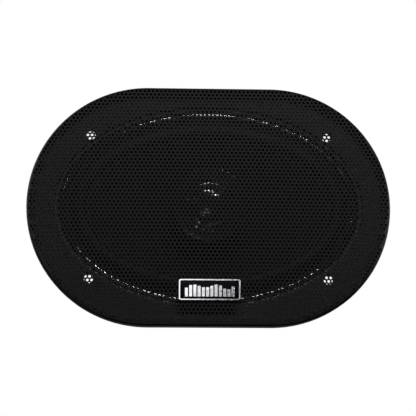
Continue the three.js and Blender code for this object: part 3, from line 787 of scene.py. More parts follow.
def basket():
    floor = (50.0, 36.0)
    section = [
        circle(SEAT_HOLE, PLATE_TOP + 1),
        circle(28.5, PLATE_TOP + 1),
        circle(30.3, FLOOR_HEIGHT),
        ellipse(*floor, FLOOR_HEIGHT),
        inward(7.1, LANDING_HEIGHT),
        inward(0.8, LANDING_HEIGHT),
        inward(0.0, FLANGE_TOP),
        stadium(FLANGE_RADIUS, FLANGE_TOP),
        stadium(FLANGE_RADIUS, MOUNT_HEIGHT),
        inward(-1.0, MOUNT_HEIGHT),
        inward(-0.3, LANDING_HEIGHT - 1),
        inward(6.3, LANDING_HEIGHT - 1),
        ellipse(floor[0] + 1, floor[1] + 1, FLOOR_HEIGHT - 1),
        circle(31.3, FLOOR_HEIGHT - 1),
        circle(29.5, PLATE_TOP),
        circle(SEAT_HOLE, PLATE_TOP),
    ]
    reach = [0.3, 0.6, 0.6, 1.6, 0.8, 0.3, 0.4, 0.3, 0.3, 0.9, 1.0, 1.6, 2.4, 1.4, 1.4, 0.3]
    body = carried(section, reach)
    windows = [window_cutter((i + 0.5) * 2 * math.pi / WINDOW_COUNT) for i in range(WINDOW_COUNT)]
    leads = [pillar(LEAD_HOLE_RADIUS, LEAD_HOLE_X, y, 20, 32) for y in (-TERMINAL_Y, TERMINAL_Y)]
    pin = pillar(1.6, BOARD_PIN_X, 0, 20, 32)
    return cut(body, [*windows, *screw_holes(SCREW_RADIUS, 36, 60), *leads, pin])


fixed("basket_frame", basket(), "painted_steel", "frame", "basket")


def gasket():
    outer, bottom, top = FLANGE_RADIUS - 1, MOUNT_HEIGHT - 1.5, MOUNT_HEIGHT
    mouth = (MOUTH_LENGTH + 1.2, MOUTH_WIDTH + 1.2)
    body = carried(
        [ellipse(*mouth, bottom), stadium(outer, bottom), stadium(outer, top), ellipse(*mouth, top)], 0.35)
    return cut(body, screw_holes(SCREW_RADIUS + 0.3, 40, 50))


fixed("gasket", gasket(), "foam", "frame", "mounting_gasket")


# ---- Cone, surround and spider ----

CONE_STEPS = 56
CONE_BOW = 0.9
PRESSED_DEPTH = 0.1
PRESSED_TURNS = 60
PRESSED_FROM = 0.3
PRESSED_TO = 0.86


def cone_point(share, drop=0.0):
    """A point of the cone's front, 0 at the neck and 1 at the lip, with faint pressed rings."""
    neck = NECK_RADIUS + PAPER
    ring = PRESSED_DEPTH * math.sin(share * PRESSED_TURNS) * (PRESSED_FROM < share < PRESSED_TO)
    bow = CONE_BOW * math.sin(math.pi * share) + ring
    return ellipse(
        neck + (CONE_LENGTH - LIP_WIDTH - neck) * share,
        neck + (CONE_WIDTH - LIP_WIDTH - neck) * share,
        NECK_HEIGHT + (LIP_HEIGHT - NECK_HEIGHT) * share + bow - drop,
    )


def cone():
    shares = [i / CONE_STEPS for i in range(CONE_STEPS + 1)]
    section = [
        circle(NECK_RADIUS, NECK_HEIGHT),
        *[cone_point(share) for share in shares],
        ellipse(CONE_LENGTH, CONE_WIDTH, LIP_HEIGHT),
        ellipse(CONE_LENGTH, CONE_WIDTH, LIP_HEIGHT - PAPER),
        *[cone_point(share, PAPER) for share in reversed(shares[2:])],
        circle(NECK_RADIUS + PAPER, NECK_HEIGHT - 0.9),
        circle(NECK_RADIUS, NECK_HEIGHT - 0.9),
    ]
    return tidied(swept(section, 192))


fixed("speaker_cone", cone(), "cone_paper", "cone_assembly", "cone")


def surround():
    middle = ROLL_OUTER + ROLL_WIDTH / 2
    rise = LIP_HEIGHT - LANDING_HEIGHT

    def arc(radius, base):
        line = []
        for i in range(ROLL_STEPS + 1):
            angle = math.pi * i / ROLL_STEPS
            z = base + rise * i / ROLL_STEPS + ROLL_HEIGHT * math.sin(angle)
            line.append(inward(middle - radius * math.cos(angle), z))
        return line

    inner = ROLL_OUTER + ROLL_WIDTH + 1
    return tidied(swept([
        inward(SURROUND_RIM, LANDING_HEIGHT + RUBBER),
        *arc(ROLL_WIDTH / 2, LANDING_HEIGHT + RUBBER),
        inward(inner, LIP_HEIGHT + RUBBER),
        inward(inner, LIP_HEIGHT),
        *reversed(arc(ROLL_WIDTH / 2 - RUBBER, LANDING_HEIGHT)),
        inward(SURROUND_RIM, LANDING_HEIGHT),
    ]))


roll = dressed("surround_roll", surround(), "rubber_roll", "surround")
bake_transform(roll)


BEAD_FROM = 0.75
BEAD_TO = 3.4
BEAD_WALL = 1.155
BEAD_CROWN = 0.945
BEAD_LEAN = 0.45
BEAD_STEPS = 12


def clamp_ring():
    """A half-round bead on a short wall, its crown leaning out towards the flange."""
    bottom = LANDING_HEIGHT + RUBBER
    middle, half = (BEAD_FROM + BEAD_TO) / 2, (BEAD_TO - BEAD_FROM) / 2
    crown = []
    for i in range(BEAD_STEPS + 1):
        angle = math.pi * i / BEAD_STEPS
        offset = middle - half * math.cos(angle) - BEAD_LEAN * math.sin(angle)
        crown.append(inward(offset, bottom + BEAD_WALL + BEAD_CROWN * math.sin(angle)))
    return tidied(swept([inward(BEAD_FROM, bottom), *crown, inward(BEAD_TO, bottom)]))


fixed("clamp_bead", clamp_ring(), "gloss_black_plastic", "frame", "surround_clamp_ring",
      coat="bead_gloss")


SPIDER_RADIUS = 33.6
SPIDER_RISE = 3.0
SPIDER_WAVES = 3
SPIDER_WAVE_HEIGHT = 0.9
SPIDER_STEPS = 48
CLOTH = 0.5


def spider():
    """A corrugated cloth ring, raised above its landing. The waves die out at both ends."""
    first, last = NECK_RADIUS + 1.6, 29.5
    waves = []
    for i in range(SPIDER_STEPS + 1):
        share = i / SPIDER_STEPS
        ease = min(1.0, share * 8, (1 - share) * 8)
        height = SPIDER_RISE + SPIDER_WAVE_HEIGHT * ease * math.sin(2 * math.pi * SPIDER_WAVES * share)
        waves.append((first + (last - first) * share, height))
    ridge = [(NECK_RADIUS, SPIDER_RISE), *waves, (30.5, SPIDER_RISE), (31.5, 0.0), (SPIDER_RADIUS, 0.0)]
    lower = [(r, FLOOR_HEIGHT + z) for r, z in ridge]
    upper = [(r, FLOOR_HEIGHT + CLOTH + z) for r, z in reversed(ridge)]
    return tidied(swept(lathe_section(lower + upper), TURNED_STEPS))


cloth = dressed("spider_ring", spider(), "spider_cloth", "spider")
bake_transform(cloth)
fixed("dust_ring", washer(5.2, 13.15, 35, 35.4, 0.12), "foam", "cone_assembly", "dust_seal")


# ---- Tweeter on its post ----

def post():
    return turned([
        (2, 2.6), (3.7, 2.6), (3.7, 21), (4.5, 21), (4.5, 41.3), (6.5, 42.8),
        (6.5, 44), (3.7, 44), (3.7, 46), (2, 46),
    ], [0.2, 0.3, 0.1, 0.1, 0.8, 0.4, 0.2, 0.1, 0.3, 0.2], 64)


def pod_shell():
    return turned([
        (4, 44), (12.6, 44), (16, 45.6), (17.3, 48.5), (17.3, 52), (15.9, 52),
        (15.9, 49.5), (14.5, 49.5), (14.5, 48), (12, 45.4), (4, 45.4),
    ], [0.2, 1.6, 1.6, 1.6, 0.2, 0.2, 0.1, 0.2, 0.6, 0.6, 0.2])


def dome():
    """The diaphragm: a thin dome with a small roll round it and a flat rim."""
    line = []
    for i in range(DOME_STEPS + 1):
        share = math.sin(math.pi / 2 * i / DOME_STEPS)
        line.append((DOME_RADIUS * share, DOME_BASE + DOME_RISE * math.sqrt(1 - 0.98 * share * share)))
    for i in range(1, DOME_ROLL_STEPS + 1):
        share = i / DOME_ROLL_STEPS
        z = DOME_BASE + 0.31 * (1 - share) + DOME_ROLL_HEIGHT * math.sin(math.pi * share)
        line.append((DOME_RADIUS + DOME_ROLL_WIDTH * share, z))
    line.append((DOME_RIM, DOME_BASE))
    upper = [(r, z + FILM) for r, z in reversed(line)]
    return tidied(swept(lathe_section(line + upper), TURNED_STEPS, closed=False))


def bezel():
    return turned([
        (11.4, 53.2), (15.8, 53.2), (15.8, 52), (17.6, 52), (17.6, 54.2), (16.9, 54.9),
        (12.1, 54.9), (11.4, 54.5),
    ], [0.1, 0.1, 0.1, 0.2, 0.3, 0.12, 0.15, 0.2])


fixed("pod_post", post(), "black_plastic", "frame", "tweeter_post")
fixed("pod_nut", eased("post_nut", 0.25), "zinc_steel", "frame", "post_nut")
fixed("pod_shell", pod_shell(), "black_plastic", "frame", "tweeter_housing")
fixed("pod_bezel", bezel(), "gloss_black_plastic", "frame", "tweeter_bezel")
fixed("dome_film", dome(), "gloss_black_plastic", "tweeter_diaphragm", "tweeter_dome")


# ---- Grille ring ----

def grille_ring():
    section = [
        stadium(RING_RADIUS, MOUNT_HEIGHT),
        stadium(RING_RADIUS, RING_TOP),
        stadium(54.5, RING_TOP),
        stadium(54.5, 48.5),
        stadium(53.5, 48.5),
        stadium(53.5, 50.2),
        stadium(52.0, 50.2),
        stadium(52.0, 48.5),
        ellipse(71.0, 47.0, 48.5),
        ellipse(71.0, 47.0, FLANGE_TOP),
        stadium(52.5, FLANGE_TOP),
        stadium(52.5, MOUNT_HEIGHT),
    ]
    reach = [0.4, 0.6, 0.3, 0.1, 0.1, 0.3, 0.3, 0.3, 0.4, 0.2, 0.1, 0.2]
    body = carried(section, reach, RING_STEPS)
    return cut(body, screw_holes(SCREW_RADIUS + 0.4, 40, 60))


fixed("trim_ring", grille_ring(), "black_plastic", "frame", "grille_ring", coat="ring_plastic")


# ---- Perforated grille ----

def hole_tile():
    """The steel round one hole and between it and its neighbours to the right and above."""
    corner = HOLE_RADIUS * math.sqrt(math.pi / 2 / math.sqrt(2))
    centres = {"a": (0.0, 0.0), "b": (HOLE_PITCH, 0.0),
               "c": (HOLE_PITCH / 2, HOLE_ROW), "d": (-HOLE_PITCH / 2, HOLE_ROW)}
    faces = [
        ["a0", "a1", "a2", "a3", "a4", "a5", "a6", "a7"],
        ["a1", "c6", "c5", "a2"],
        ["a2", "d7", "d6", "a3"],
        ["a0", "b4", "b3", "c6", "a1"],
        ["d0", "d7", "a2", "c5", "c4"],
    ]
    names = sorted({name for face in faces for name in face})
    rims = []
    points = []
    for name in names:
        angle = int(name[1]) * math.pi / 4
        rim = (corner * math.cos(angle), corner * math.sin(angle), 0.0)
        middle = centres[name[0]]
        rims.append(rim)
        points.append((middle[0] + rim[0], middle[1] + rim[1], 0.0))
    mesh = mesh_from(points, [[names.index(name) for name in face] for face in faces], "hole_tile")
    rim_store = mesh.attributes.new("rim", "FLOAT_VECTOR", "POINT")
    rim_store.data.foreach_set("vector", [number for rim in rims for number in rim])
    hole_store = mesh.attributes.new("hole", "BOOLEAN", "FACE")
    hole_store.data.foreach_set("value", [True, False, False, False, False])
    return mesh


def grille_skirt():
    """The grille's skirt, open along the bend above it and along the bottom."""
    heights = [SKIRT_BOTTOM, SKIRT_BOTTOM + 0.3, CROWN_BASE - GRILLE_BEND]
    return swept([stadium(GRILLE_RADIUS, z) for z in heights], RING_STEPS, closed=False)


def outline_share(x, y):
    """How far out a point is: 0 at the middle and 1 at the crown's edge."""
    straight, radius = RING_STRAIGHT, CROWN_RADIUS
    wide, deep = abs(x), abs(y)
    on_end = wide > deep * (straight / radius)
    under = wide * wide * straight ** 2 + (wide * wide + deep * deep) * (radius ** 2 - straight ** 2)
    end_share = (under.math("SQRT") - wide * straight) / (radius ** 2 - straight ** 2)
    return end_share * on_end + deep / radius * (on_end * -1.0 + 1.0)


def away_from_middle(x, y):
    """How far a point is from the straight middle line, and the way out from it."""
    past = (abs(x) - RING_STRAIGHT).math("MAXIMUM", 0.0)
    radius = (past * past + y * y).math("SQRT")
    safe = radius.math("MAXIMUM", 0.001)
    return radius, past * x.math("SIGN") / safe, y / safe


def perforated_sheet():
    """Fills the top of the skirt with punched steel, folds its edge down and gives it all its thickness."""
    tree, takes, gives = new_tree(
        "Perforated sheet", "GeometryNodeTree",
        [
            ("Skirt", "Geometry", None),
            ("Tile", "Object", None),
            ("Pitch", "Float", HOLE_PITCH),
            ("Row", "Float", HOLE_ROW),
            ("Columns", "Int", 87),
            ("Rows", "Int", 67),
            ("Punched radius", "Float", 53.85),
            ("Badge length", "Float", 25.0),
            ("Badge width", "Float", 7.2),
            ("Stud hole", "Float", 1.2),
            ("Shift X", "Float", 0.0),
            ("Shift Y", "Float", 0.0),
            ("Steel", "Material", None),
        ],
        [("Sheet", "Geometry")],
    )

    def place():
        return coordinates(tree, tree.nodes.new("GeometryNodeInputPosition"))

    def stored(name, kind):
        found = node(tree, "GeometryNodeInputNamedAttribute", {"data_type": kind}, Name=name)
        return found.outputs["Attribute"]

    def shifted(shape, offset):
        return node(tree, "GeometryNodeSetPosition", Geometry=shape, Offset=offset)

    def welded(shape, distance=WELD):
        return node(tree, "GeometryNodeMergeByDistance", Geometry=shape, Distance=distance)

    def without(shape, selection, domain, mode="ALL"):
        return node(tree, "GeometryNodeDeleteGeometry", {"domain": domain, "mode": mode},
                    Geometry=shape, Selection=selection)

    neighbours = tree.nodes.new("GeometryNodeInputMeshEdgeNeighbors")

    def edges_with(faces):
        return node(tree, "FunctionNodeCompare", {"data_type": "INT", "operation": "EQUAL"},
                    A=neighbours, B=faces)

    def loop_of(shape, selection):
        return node(tree, "GeometryNodeMeshToCurve", Mesh=shape, Selection=selection)

    def with_thickness(shape, x, y, z=0.0):
        """Keeps the way to the sheet's other side on each point of the shape."""
        return node(tree, "GeometryNodeStoreNamedAttribute",
                    {"data_type": "FLOAT_VECTOR", "domain": "POINT"},
                    Geometry=shape, Name="inward", Value=vector_of(tree, x, y, z))

    def unpunched(x, y):
        """1 where a hole centred there would be beyond the edge or under the badge."""
        outside = away_from_middle(x, y)[0] > takes["Punched radius"]
        under_x = abs(x) < takes["Badge length"] / 2.0
        under_y = abs(y - BADGE_Y) < takes["Badge width"] / 2.0
        return outside.math("MAXIMUM", under_x * under_y)

    # The lattice of hole centres, every other row half a pitch along.
    grid = node(
        tree, "GeometryNodeMeshGrid",
        Size_X=(takes["Columns"] - 1.0) * takes["Pitch"], Size_Y=(takes["Rows"] - 1.0) * takes["Row"],
        Vertices_X=takes["Columns"], Vertices_Y=takes["Rows"],
    )
    x, y, _ = place()
    odd = abs((y / takes["Row"]).math("ROUND").math("MODULO", 2.0))
    stagger = vector_of(tree, odd * takes["Pitch"] * 0.5 + takes["Shift X"], takes["Shift Y"])
    lattice = shifted(grid, stagger)
    x, y, _ = place()
    centres = without(lattice, unpunched(x, y), "POINT")
    tile = node(tree, "GeometryNodeObjectInfo", Object=takes["Tile"])
    tiles = node(tree, "GeometryNodeInstanceOnPoints", Points=centres, Instance=tile.outputs["Geometry"])
    real = node(tree, "GeometryNodeRealizeInstances", Geometry=tiles)

    # Steel that belongs to a hole which isn't there goes.
    rim_x, rim_y, _ = coordinates(tree, stored("rim", "FLOAT_VECTOR"))
    x, y, z = place()
    punched = welded(without(real, unpunched(x - rim_x, y - rim_y), "POINT"))

    # The plain steel between the outermost holes and the edge, and under the badge.
    ragged = loop_of(punched, edges_with(1))
    at_top = node(tree, "FunctionNodeBooleanMath", {"operation": "AND"})
    plug(tree, at_top.inputs[0], edges_with(1))
    plug(tree, at_top.inputs[1], z > CROWN_BASE - GRILLE_BEND - 0.01)
    skirt = takes["Skirt"]
    radius, out_x, out_y = away_from_middle(x, y)
    unrolled = FOLD_RADIUS - GRILLE_RADIUS
    flat_outline = shifted(loop_of(skirt, at_top), vector_of(tree, out_x * unrolled, out_y * unrolled))
    loops = [ragged, flat_outline]
    for side in (-STUD_REACH, STUD_REACH):
        stud = node(tree, "GeometryNodeCurvePrimitiveCircle", Resolution=24, Radius=takes["Stud hole"])
        loops.append(node(tree, "GeometryNodeTransform", Geometry=stud, Translation=(side, BADGE_Y, 0.0)))
    plain = node(tree, "GeometryNodeFillCurve", Curve=put_together(tree, *loops))

    # Together they make the top, which swells like a pillow and folds down at its edge.
    top = without(welded(put_together(tree, punched, plain)), stored("hole", "BOOLEAN"), "FACE", "ONLY_FACE")
    angle = ((radius - CROWN_RADIUS) / GRILLE_BEND).math("MAXIMUM", 0.0)
    sine, cosine = angle.math("SINE"), angle.math("COSINE")
    share = outline_share(x, y).math("MINIMUM", 1.0)
    swell = (share * share * -1.0 + 1.0) * CROWN_RISE
    shrink = (radius - CROWN_RADIUS).math("MAXIMUM", 0.0) - sine * GRILLE_BEND
    height = swell + cosine * GRILLE_BEND + (CROWN_BASE - GRILLE_BEND) - z
    fold = vector_of(tree, out_x * shrink * -1.0, out_y * shrink * -1.0, height)
    folded = shifted(
        with_thickness(top, out_x * sine * -GRILLE_SHEET, out_y * sine * -GRILLE_SHEET,
                       cosine * -GRILLE_SHEET), fold)
    sides = with_thickness(skirt, out_x * -GRILLE_SHEET, out_y * -GRILLE_SHEET)
    outer = without(welded(put_together(tree, folded, sides), 2 * WELD), edges_with(0), "EDGE", "EDGE_FACE")

    # The sheet's thickness: the same skin again, moved in, with walls between the two.
    walls = node(tree, "GeometryNodeExtrudeMesh", {"mode": "FACES"}, Mesh=outer, Offset_Scale=0.0,
                 Individual=False)
    inner = shifted(walls, stored("inward", "FLOAT_VECTOR"))
    plug(tree, inner.inputs["Selection"], walls.outputs["Top"])
    turned_in = node(tree, "GeometryNodeFlipFaces", Mesh=inner)
    solid = welded(put_together(tree, outer, turned_in))
    return put_out(tree, gives, solid, takes["Steel"])


def grille():
    tile = placed_object("hole_tile", hole_tile())
    made = grown(grille_skirt(), perforated_sheet(), tile=tile, steel=FINISHES["grille_steel"],
                 shift_x=HOLE_SHIFT[0], shift_y=HOLE_SHIFT[1])
    bpy.data.objects.remove(tile)
    for name in ("rim", "hole", "inward"):
        if name in made.attributes:
            made.attributes.remove(made.attributes[name])
    return made


fixed("grille_sheet", grille(), "grille_steel", "grille", "grille_mesh", sharp=40.0)


# ---- Badge ----

BADGE_SHARE = -BADGE_Y / CROWN_RADIUS
BADGE_SLOPE = math.atan(2 * CROWN_RISE * BADGE_SHARE / CROWN_RADIUS)
BADGE_PLACE = (
    Matrix.Translation((0, BADGE_Y, CROWN_BASE + CROWN_RISE * (1 - BADGE_SHARE ** 2)))
    @ Matrix.Rotation(BADGE_SLOPE, 4, "X")
)


def badge_tray():
    """A shallow tray with a raised bright rim, and two studs behind it."""
    steps = [
        (0.0, 0.9, 0.3), (0.0, 0.9, 1.44), (0.05, 0.87, 1.5), (0.52, 0.63, 1.5), (0.57, 0.6, 1.44),
        (0.57, 0.6, 0.7),
    ]
    tray = lofted([
        round_corner_loop(BADGE_LENGTH - 2 * inset, BADGE_WIDTH - 2 * inset, radius, z)
        for inset, radius, z in steps
    ])
    studs = [pillar(0.8, x, 0, -3.0, 0.3, 24) for x in (-STUD_REACH, STUD_REACH)]
    return moved(gathered([tray, *studs]), BADGE_PLACE)


def badge_plate():
    levels = [(0.08, 1.0), (0.0, 1.06), (0.0, 1.2), (0.05, 1.27), (0.12, 1.3)]
    return moved(lofted([
        round_corner_loop(BADGE_LENGTH - 1.3 - 2 * inset, BADGE_WIDTH - 1.3 - 2 * inset, 0.5, z)
        for inset, z in levels
    ]), BADGE_PLACE)


def clip(x):
    ring = turned([(0.9, -1.5), (2.4, -1.5), (2.4, -1.0), (0.9, -1.0)], 0.12, 48)
    return moved(ring, Matrix.Translation((x, 0, 0)), BADGE_PLACE)


def level_bars():
    """A row of upright bars that rise and fall, the badge's own plain motif."""
    tree, takes, gives = new_tree(
        "Level bars", "GeometryNodeTree",
        [
            ("Bar", "Geometry", None),
            ("Count", "Int", 12),
            ("Spacing", "Float", 1.9),
            ("Tallest", "Float", 6.3),
            ("Shortest", "Float", 2.6),
            ("Foot", "Float", -3.15),
            ("Chrome", "Material", None),
        ],
        [("Bars", "Geometry")],
    )
    count = takes["Count"]
    spacing = takes["Spacing"]
    start = vector_of(tree, (count - 1.0) * spacing * -0.5, takes["Foot"])
    step = vector_of(tree, spacing)
    row = node(tree, "GeometryNodeMeshLine", Count=count, Start_Location=start,
               Offset=step)
    index = Value(tree, tree.nodes.new("GeometryNodeInputIndex"))
    wave = (index * 0.95 + 0.5).math("SINE") * 0.3 + (index * 0.29 + 0.3).math("SINE") * 0.7
    reach = takes["Tallest"] - takes["Shortest"]
    tall = abs(wave) * reach + takes["Shortest"]
    scale = vector_of(tree, 1.0, tall, 1.0)
    bars = node(tree, "GeometryNodeInstanceOnPoints", Points=row,
                Instance=takes["Bar"], Scale=scale)
    return put_out(tree, gives, bars, takes["Chrome"])


def badge_motif():
    bar = lofted([
        round_corner_loop(width, 1.0 - inset, 0.04, z, 2)
        for width, inset, z in ((1.4, 0.0, 1.27), (1.4, 0.0, 1.4), (1.32, 0.01, 1.43))
    ])
    moved(bar, Matrix.Translation((0, 0.5, 0)))
    return moved(grown(bar, level_bars(), chrome=FINISHES["badge_chrome"]), BADGE_PLACE)


fixed("badge_tray", badge_tray(), "bright_chrome", "grille", "badge_frame", sharp=15.0,
      coat="badge_chrome")
fixed("badge_plate", badge_plate(), "gloss_black_plastic", "grille", "badge_inlay",
      coat="badge_black")
fixed("badge_bars", badge_motif(), "bright_chrome", "grille", "badge_inlay", sharp=15.0,
      coat="badge_chrome")
fixed("stud_clip_left", clip(-STUD_REACH), "zinc_steel", "grille", "badge_clip_left")
fixed("stud_clip_right", clip(STUD_REACH), "zinc_steel", "grille", "badge_clip_right")


# ---- Terminals, filter and leads ----

def rivet(x, y, bottom, top):
    """A rivet with domed heads, from one head's seat to the other's."""
    pairs = [(0.0, bottom - 0.7), (1.6, bottom - 0.62), (2.4, bottom - 0.12), (2.4, bottom), (1.3, bottom),
             (1.3, top), (2.4, top), (2.4, top + 0.12), (1.6, top + 0.62), (0.0, top + 0.7)]
    eased_head = [0, 0.5, 0.05, 0.05, 0]
    body = turned(pairs, eased_head + eased_head[::-1], 40, closed=False)
    return moved(body, Matrix.Translation((x, y, 0)))


for side, y in (("positive", TERMINAL_Y), ("negative", -TERMINAL_Y)):
    fixed(f"tab_{side}", eased(f"terminal_tab_{side}", 0.12), "tinned_brass", "frame", f"terminal_tab_{side}")
    fixed(f"tab_rivet_{side}", rivet(TERMINAL_X, y, 25.1, 27.5), "tinned_brass", "frame",
          f"terminal_rivet_{side}")
fixed("board", eased("terminal_board", 0.15), "brown_laminate", "frame", "terminal_board")
fixed("board_pin", rivet(BOARD_PIN_X, 0, 25.9, 28.5), "zinc_steel", "frame", "board_rivet")


CAN_END = (41.0, 12.0, 23.2)


def capacitor():
    """A can in its shrunk sleeve, with a bead rolled in near one end."""
    pairs = [(0, 0), (3.6, 0), (4, 0.4), (4, 14.2), (3.5, 14.6), (4, 15.0), (3.6, 16), (0, 16)]
    can = turned(pairs, [0, *[0.3] * 6, 0], 64, closed=False)
    return moved(can, Matrix.Rotation(-math.pi / 2, 4, "X"), Matrix.Translation(CAN_END))


fixed("filter_can", capacitor(), "capacitor_sleeve", "frame", "crossover_capacitor")


def between(ends, time, start, end):
    """The point that a straight walk from one end to the other passes at a time."""
    return ends[0] * ((end - time) / (end - start)) + ends[1] * ((time - start) / (end - start))


def smooth_route(points, steps):
    """Points along a smooth curve through the given ones, with no overshoot at close ones."""
    route = [Vector(point) for point in points]
    route = [2 * route[0] - route[1], *route, 2 * route[-1] - route[-2]]
    spans = len(route) - 3
    line = []
    for step in range(steps + 1):
        place = min(step * spans / steps, spans - 1e-6)
        index = int(place)
        near = route[index:index + 4]
        times = [0.0]
        for here, there in zip(near, near[1:]):
            times.append(times[-1] + (there - here).length ** 0.5)
        time = times[1] + (times[2] - times[1]) * (place - index)
        straight = [between(near[i:i + 2], time, times[i], times[i + 1]) for i in range(3)]
        bent = [between(straight[i:i + 2], time, times[i], times[i + 2]) for i in range(2)]
        line.append(between(bent, time, times[1], times[2]))
    return line


def stranded_lead():
    """A lead along its route: strands laid round its middle, or one round strand."""
    tree, takes, gives = new_tree(
        "Stranded lead", "GeometryNodeTree",
        [
            ("Route", "Geometry", None),
            ("Lay radius", "Float", 0.0),
            ("Lay length", "Float", 3.0),
            ("Strand radius", "Float", 0.5),
            ("Strands", "Int", 1),
            ("Coating", "Material", None),
        ],
        [("Lead", "Geometry")],
    )
    line = node(tree, "GeometryNodeMeshToCurve", Mesh=takes["Route"])
    count = takes["Strands"]
    copies = node(tree, "GeometryNodeDuplicateElements", {"domain": "SPLINE"},
                  Geometry=line, Amount=count)
    number = Value(tree, copies.outputs["Duplicate Index"])
    along = Value(tree, tree.nodes.new("GeometryNodeSplineParameter").outputs["Length"])
    angle = (along / takes["Lay length"] + number / count) * (2 * math.pi)
    normal = tree.nodes.new("GeometryNodeInputNormal")
    tangent = tree.nodes.new("GeometryNodeInputTangent")
    spun = node(tree, "ShaderNodeVectorRotate", {"rotation_type": "AXIS_ANGLE"},
                Vector=normal, Axis=tangent, Angle=angle)
    out = node(tree, "ShaderNodeVectorMath", {"operation": "SCALE"},
               Vector=spun, Scale=takes["Lay radius"])
    laid = node(tree, "GeometryNodeSetPosition", Geometry=copies, Offset=out)
    profile = node(tree, "GeometryNodeCurvePrimitiveCircle", Resolution=12,
                   Radius=takes["Strand radius"])
    tube = node(tree, "GeometryNodeCurveToMesh", Curve=laid, Profile_Curve=profile,
                Fill_Caps=True)
    return put_out(tree, gives, tube, takes["Coating"])


LEAD_TREE = stranded_lead()


def lead(points, steps, slot, **sizes):
    line = smooth_route(points, steps)
    route = bpy.data.meshes.new("route")
    route.from_pydata(line, [(i, i + 1) for i in range(len(line) - 1)], [])
    return tidied(grown(route, LEAD_TREE, coating=FINISHES[slot], **sizes))


def pod_route(side):
    """From under the tweeter, down the hollow post and out along the yoke's groove."""
    y = side * 0.8
    return [
        (0, y, 45.4), (0, y, 32.5), (0, y, 6), (0.4, y, 2.6), (1.7, y, 1.45), (4, y, 1.3),
        (29, side * 1.2, 1.3), (35.45, side * 1.2, 1.3), (36.65, side * 1.3, 2.5), (37.05, side * 1.5, 4.8),
    ]


TWEETER_NEGATIVE = [*pod_route(-1), (37.05, -3, 16.5), (40.05, -5.4, 23.25), (47.5, -6, 24.25)]
TWEETER_POSITIVE = [
    *pod_route(1), (37.05, 4, 14.75), (40, 9, 17.75), (41, 24, 17.75), (41, 29.8, 18.95),
    (41, 30.6, 21.8), (41, 29.6, 23.2), (41, 28.3, 23.2),
]
FILTER_LEAD = [(41, 11.7, 23.2), (42, 9.5, 23.2), (45.5, 7.4, 24.35), (48.5, 6, 24.35)]

for name, points, steps, slot, thickness, node_name in (
    ("pod_lead_black", TWEETER_NEGATIVE, 90, "black_insulation", 1.1, "tweeter_lead_negative"),
    ("pod_lead_red", TWEETER_POSITIVE, 120, "red_insulation", 1.1, "tweeter_lead_positive"),
    ("filter_lead", FILTER_LEAD, 30, "copper_braid", 0.8, "capacitor_lead"),
):
    fixed(name, lead(points, steps, slot, strand_radius=thickness / 2), slot, "frame", node_name)

for side, y in (("positive", TERMINAL_Y), ("negative", -TERMINAL_Y)):
    bend = [(45.5, y, 26.2), (45.5, y, 28.5), (43.5, y, 32.1), (36.5, y * 0.97, 34.5)]
    bend += [(29.18, y * 0.92, 36.47), (24.18, y * 0.85, 35.47)]
    braid = lead(bend, 72, "copper_braid", strands=4, strand_radius=0.22, lay_radius=0.26, lay_length=3.2)
    flexing = dressed(f"braid_{side}", braid, "copper_braid", f"tinsel_lead_{side}")
    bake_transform(flexing)


# ---- Finishes of the frame's own nodes that stay ----

SLOT_OF_NODE = {
    "voice_coil_former": "aluminium_foil",
    "voice_coil": "copper_wire",
    "tweeter_cup": "zinc_steel",
    "tweeter_magnet": "bright_nickel",
    "tweeter_top_plate": "zinc_steel",
    "tweeter_carrier": "black_plastic",
    "tweeter_coil": "copper_wire",
}
for name, slot in SLOT_OF_NODE.items():
    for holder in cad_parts[name].material_slots:
        holder.material = FINISHES[slot]


# ---- Floor, lights and camera ----

WHITE = (1.0, 1.0, 1.0, 1.0)
FLOOR_GLOW = 0.07
BACKDROP_GLOW = 0.035


def seen_by_camera(tree):
    return Value(tree, tree.nodes.new("ShaderNodeLightPath").outputs["Is Camera Ray"])


def floor_finish():
    """A pale floor, evenly lit from above and clear from below, that lights the part only a little."""
    material = bpy.data.materials.new("studio_floor")
    material.use_nodes = True
    tree = material.node_tree
    tree.nodes.clear()
    out = tree.nodes.new("ShaderNodeOutputMaterial")

    def either(factor, first, second):
        mix = tree.nodes.new("ShaderNodeMixShader")
        for slot, term in zip(mix.inputs, (factor, first, second)):
            plug(tree, slot, term)
        return mix

    bright = node(tree, "ShaderNodeEmission", Color=WHITE, Strength=1.0)
    soft = node(tree, "ShaderNodeEmission", Color=WHITE, Strength=FLOOR_GLOW)
    from_above = either(seen_by_camera(tree), soft, bright)
    below = tree.nodes.new("ShaderNodeNewGeometry").outputs["Backfacing"]
    clear = tree.nodes.new("ShaderNodeBsdfTransparent")
    plug(tree, out.inputs["Surface"], either(below, from_above, clear))
    return material


def studio_world():
    """A white backdrop that sheds little light."""
    world = bpy.data.worlds.new("studio")
    bpy.context.scene.world = world
    world.use_nodes = True
    tree = world.node_tree
    backdrop = tree.nodes["Background"]
    backdrop.inputs["Color"].default_value = WHITE
    glow = seen_by_camera(tree) * (1 - BACKDROP_GLOW) + BACKDROP_GLOW
    plug(tree, backdrop.inputs["Strength"], glow)


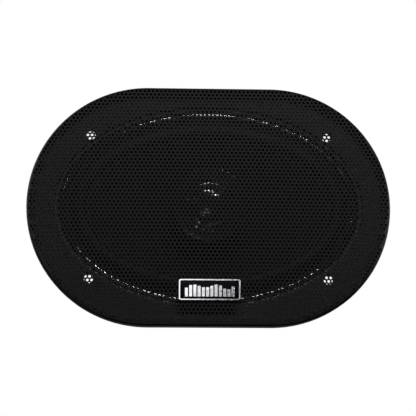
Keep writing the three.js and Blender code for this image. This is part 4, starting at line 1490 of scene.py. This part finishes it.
def softbox(name, azimuth, zenith, distance, width, height, power):
    """An oblong lamp aimed at the middle of the grille, in metres and watts.

    Azimuth is from +X towards +Y, and zenith is down from straight above, in degrees.
    """
    lamp = bpy.data.lights.new(name, "AREA")
    lamp.shape = "RECTANGLE"
    lamp.size, lamp.size_y = width, height
    lamp.energy = power
    holder = placed_object(name, lamp)
    a, z = math.radians(azimuth), math.radians(zenith)
    way = Vector((math.cos(a) * math.sin(z), math.sin(a) * math.sin(z), math.cos(z)))
    holder.location = Vector((0, 0, 0.05)) + way * distance
    holder.rotation_mode = "QUATERNION"
    holder.rotation_quaternion = (-way).to_track_quat("-Z", "Y")


def studio_camera():
    """Straight above the grille, tipped a little towards the badge side."""
    tilt, turn, roll = math.radians(9.85), math.radians(-2.3), math.radians(0.1)
    facing = Matrix.Rotation(turn, 3, "Y") @ Matrix.Rotation(tilt, 3, "X") @ Matrix.Rotation(roll, 3, "Z")
    data = bpy.data.cameras.new("camera")
    data.lens = 108.2
    data.sensor_width = 36.0
    data.clip_start, data.clip_end = 0.01, 20.0
    holder = placed_object("camera", data)
    back = facing @ Vector((-0.85, -2.15, 566.2)) + Vector((0, 0, 57.3))
    holder.matrix_world = Matrix.Translation(back * MM) @ facing.to_4x4()
    bpy.context.scene.camera = holder


FLOOR_REACH = 6.0
corners = [(x * FLOOR_REACH, y * FLOOR_REACH, 0) for x, y in ((-1, -1), (1, -1), (1, 1), (-1, 1))]
floor_mesh = mesh_from(corners, [(0, 1, 2, 3)], "floor")
floor_mesh.materials.append(floor_finish())
floor = placed_object("floor", floor_mesh)
floor.location.z = -0.0005

studio_world()
for lamp in (
    ("key_softbox", 81, 36, 1.2, 0.6, 0.26, 23),
    ("left_softbox", 148, 48, 1.3, 0.16, 0.3, 3),
    ("top_card", 216.5, 8.4, 1.3, 0.22, 0.5, 0.5),
    ("left_edge_card", 180, 83, 1.3, 0.4, 0.16, 11),
    ("right_edge_card", 0, 84, 1.3, 0.4, 0.16, 14),
    ("near_edge_card", 270, 83, 1.3, 0.8, 0.16, 10),
):
    softbox(*lamp)
studio_camera()
bpy.context.scene.view_settings.view_transform = "Standard"
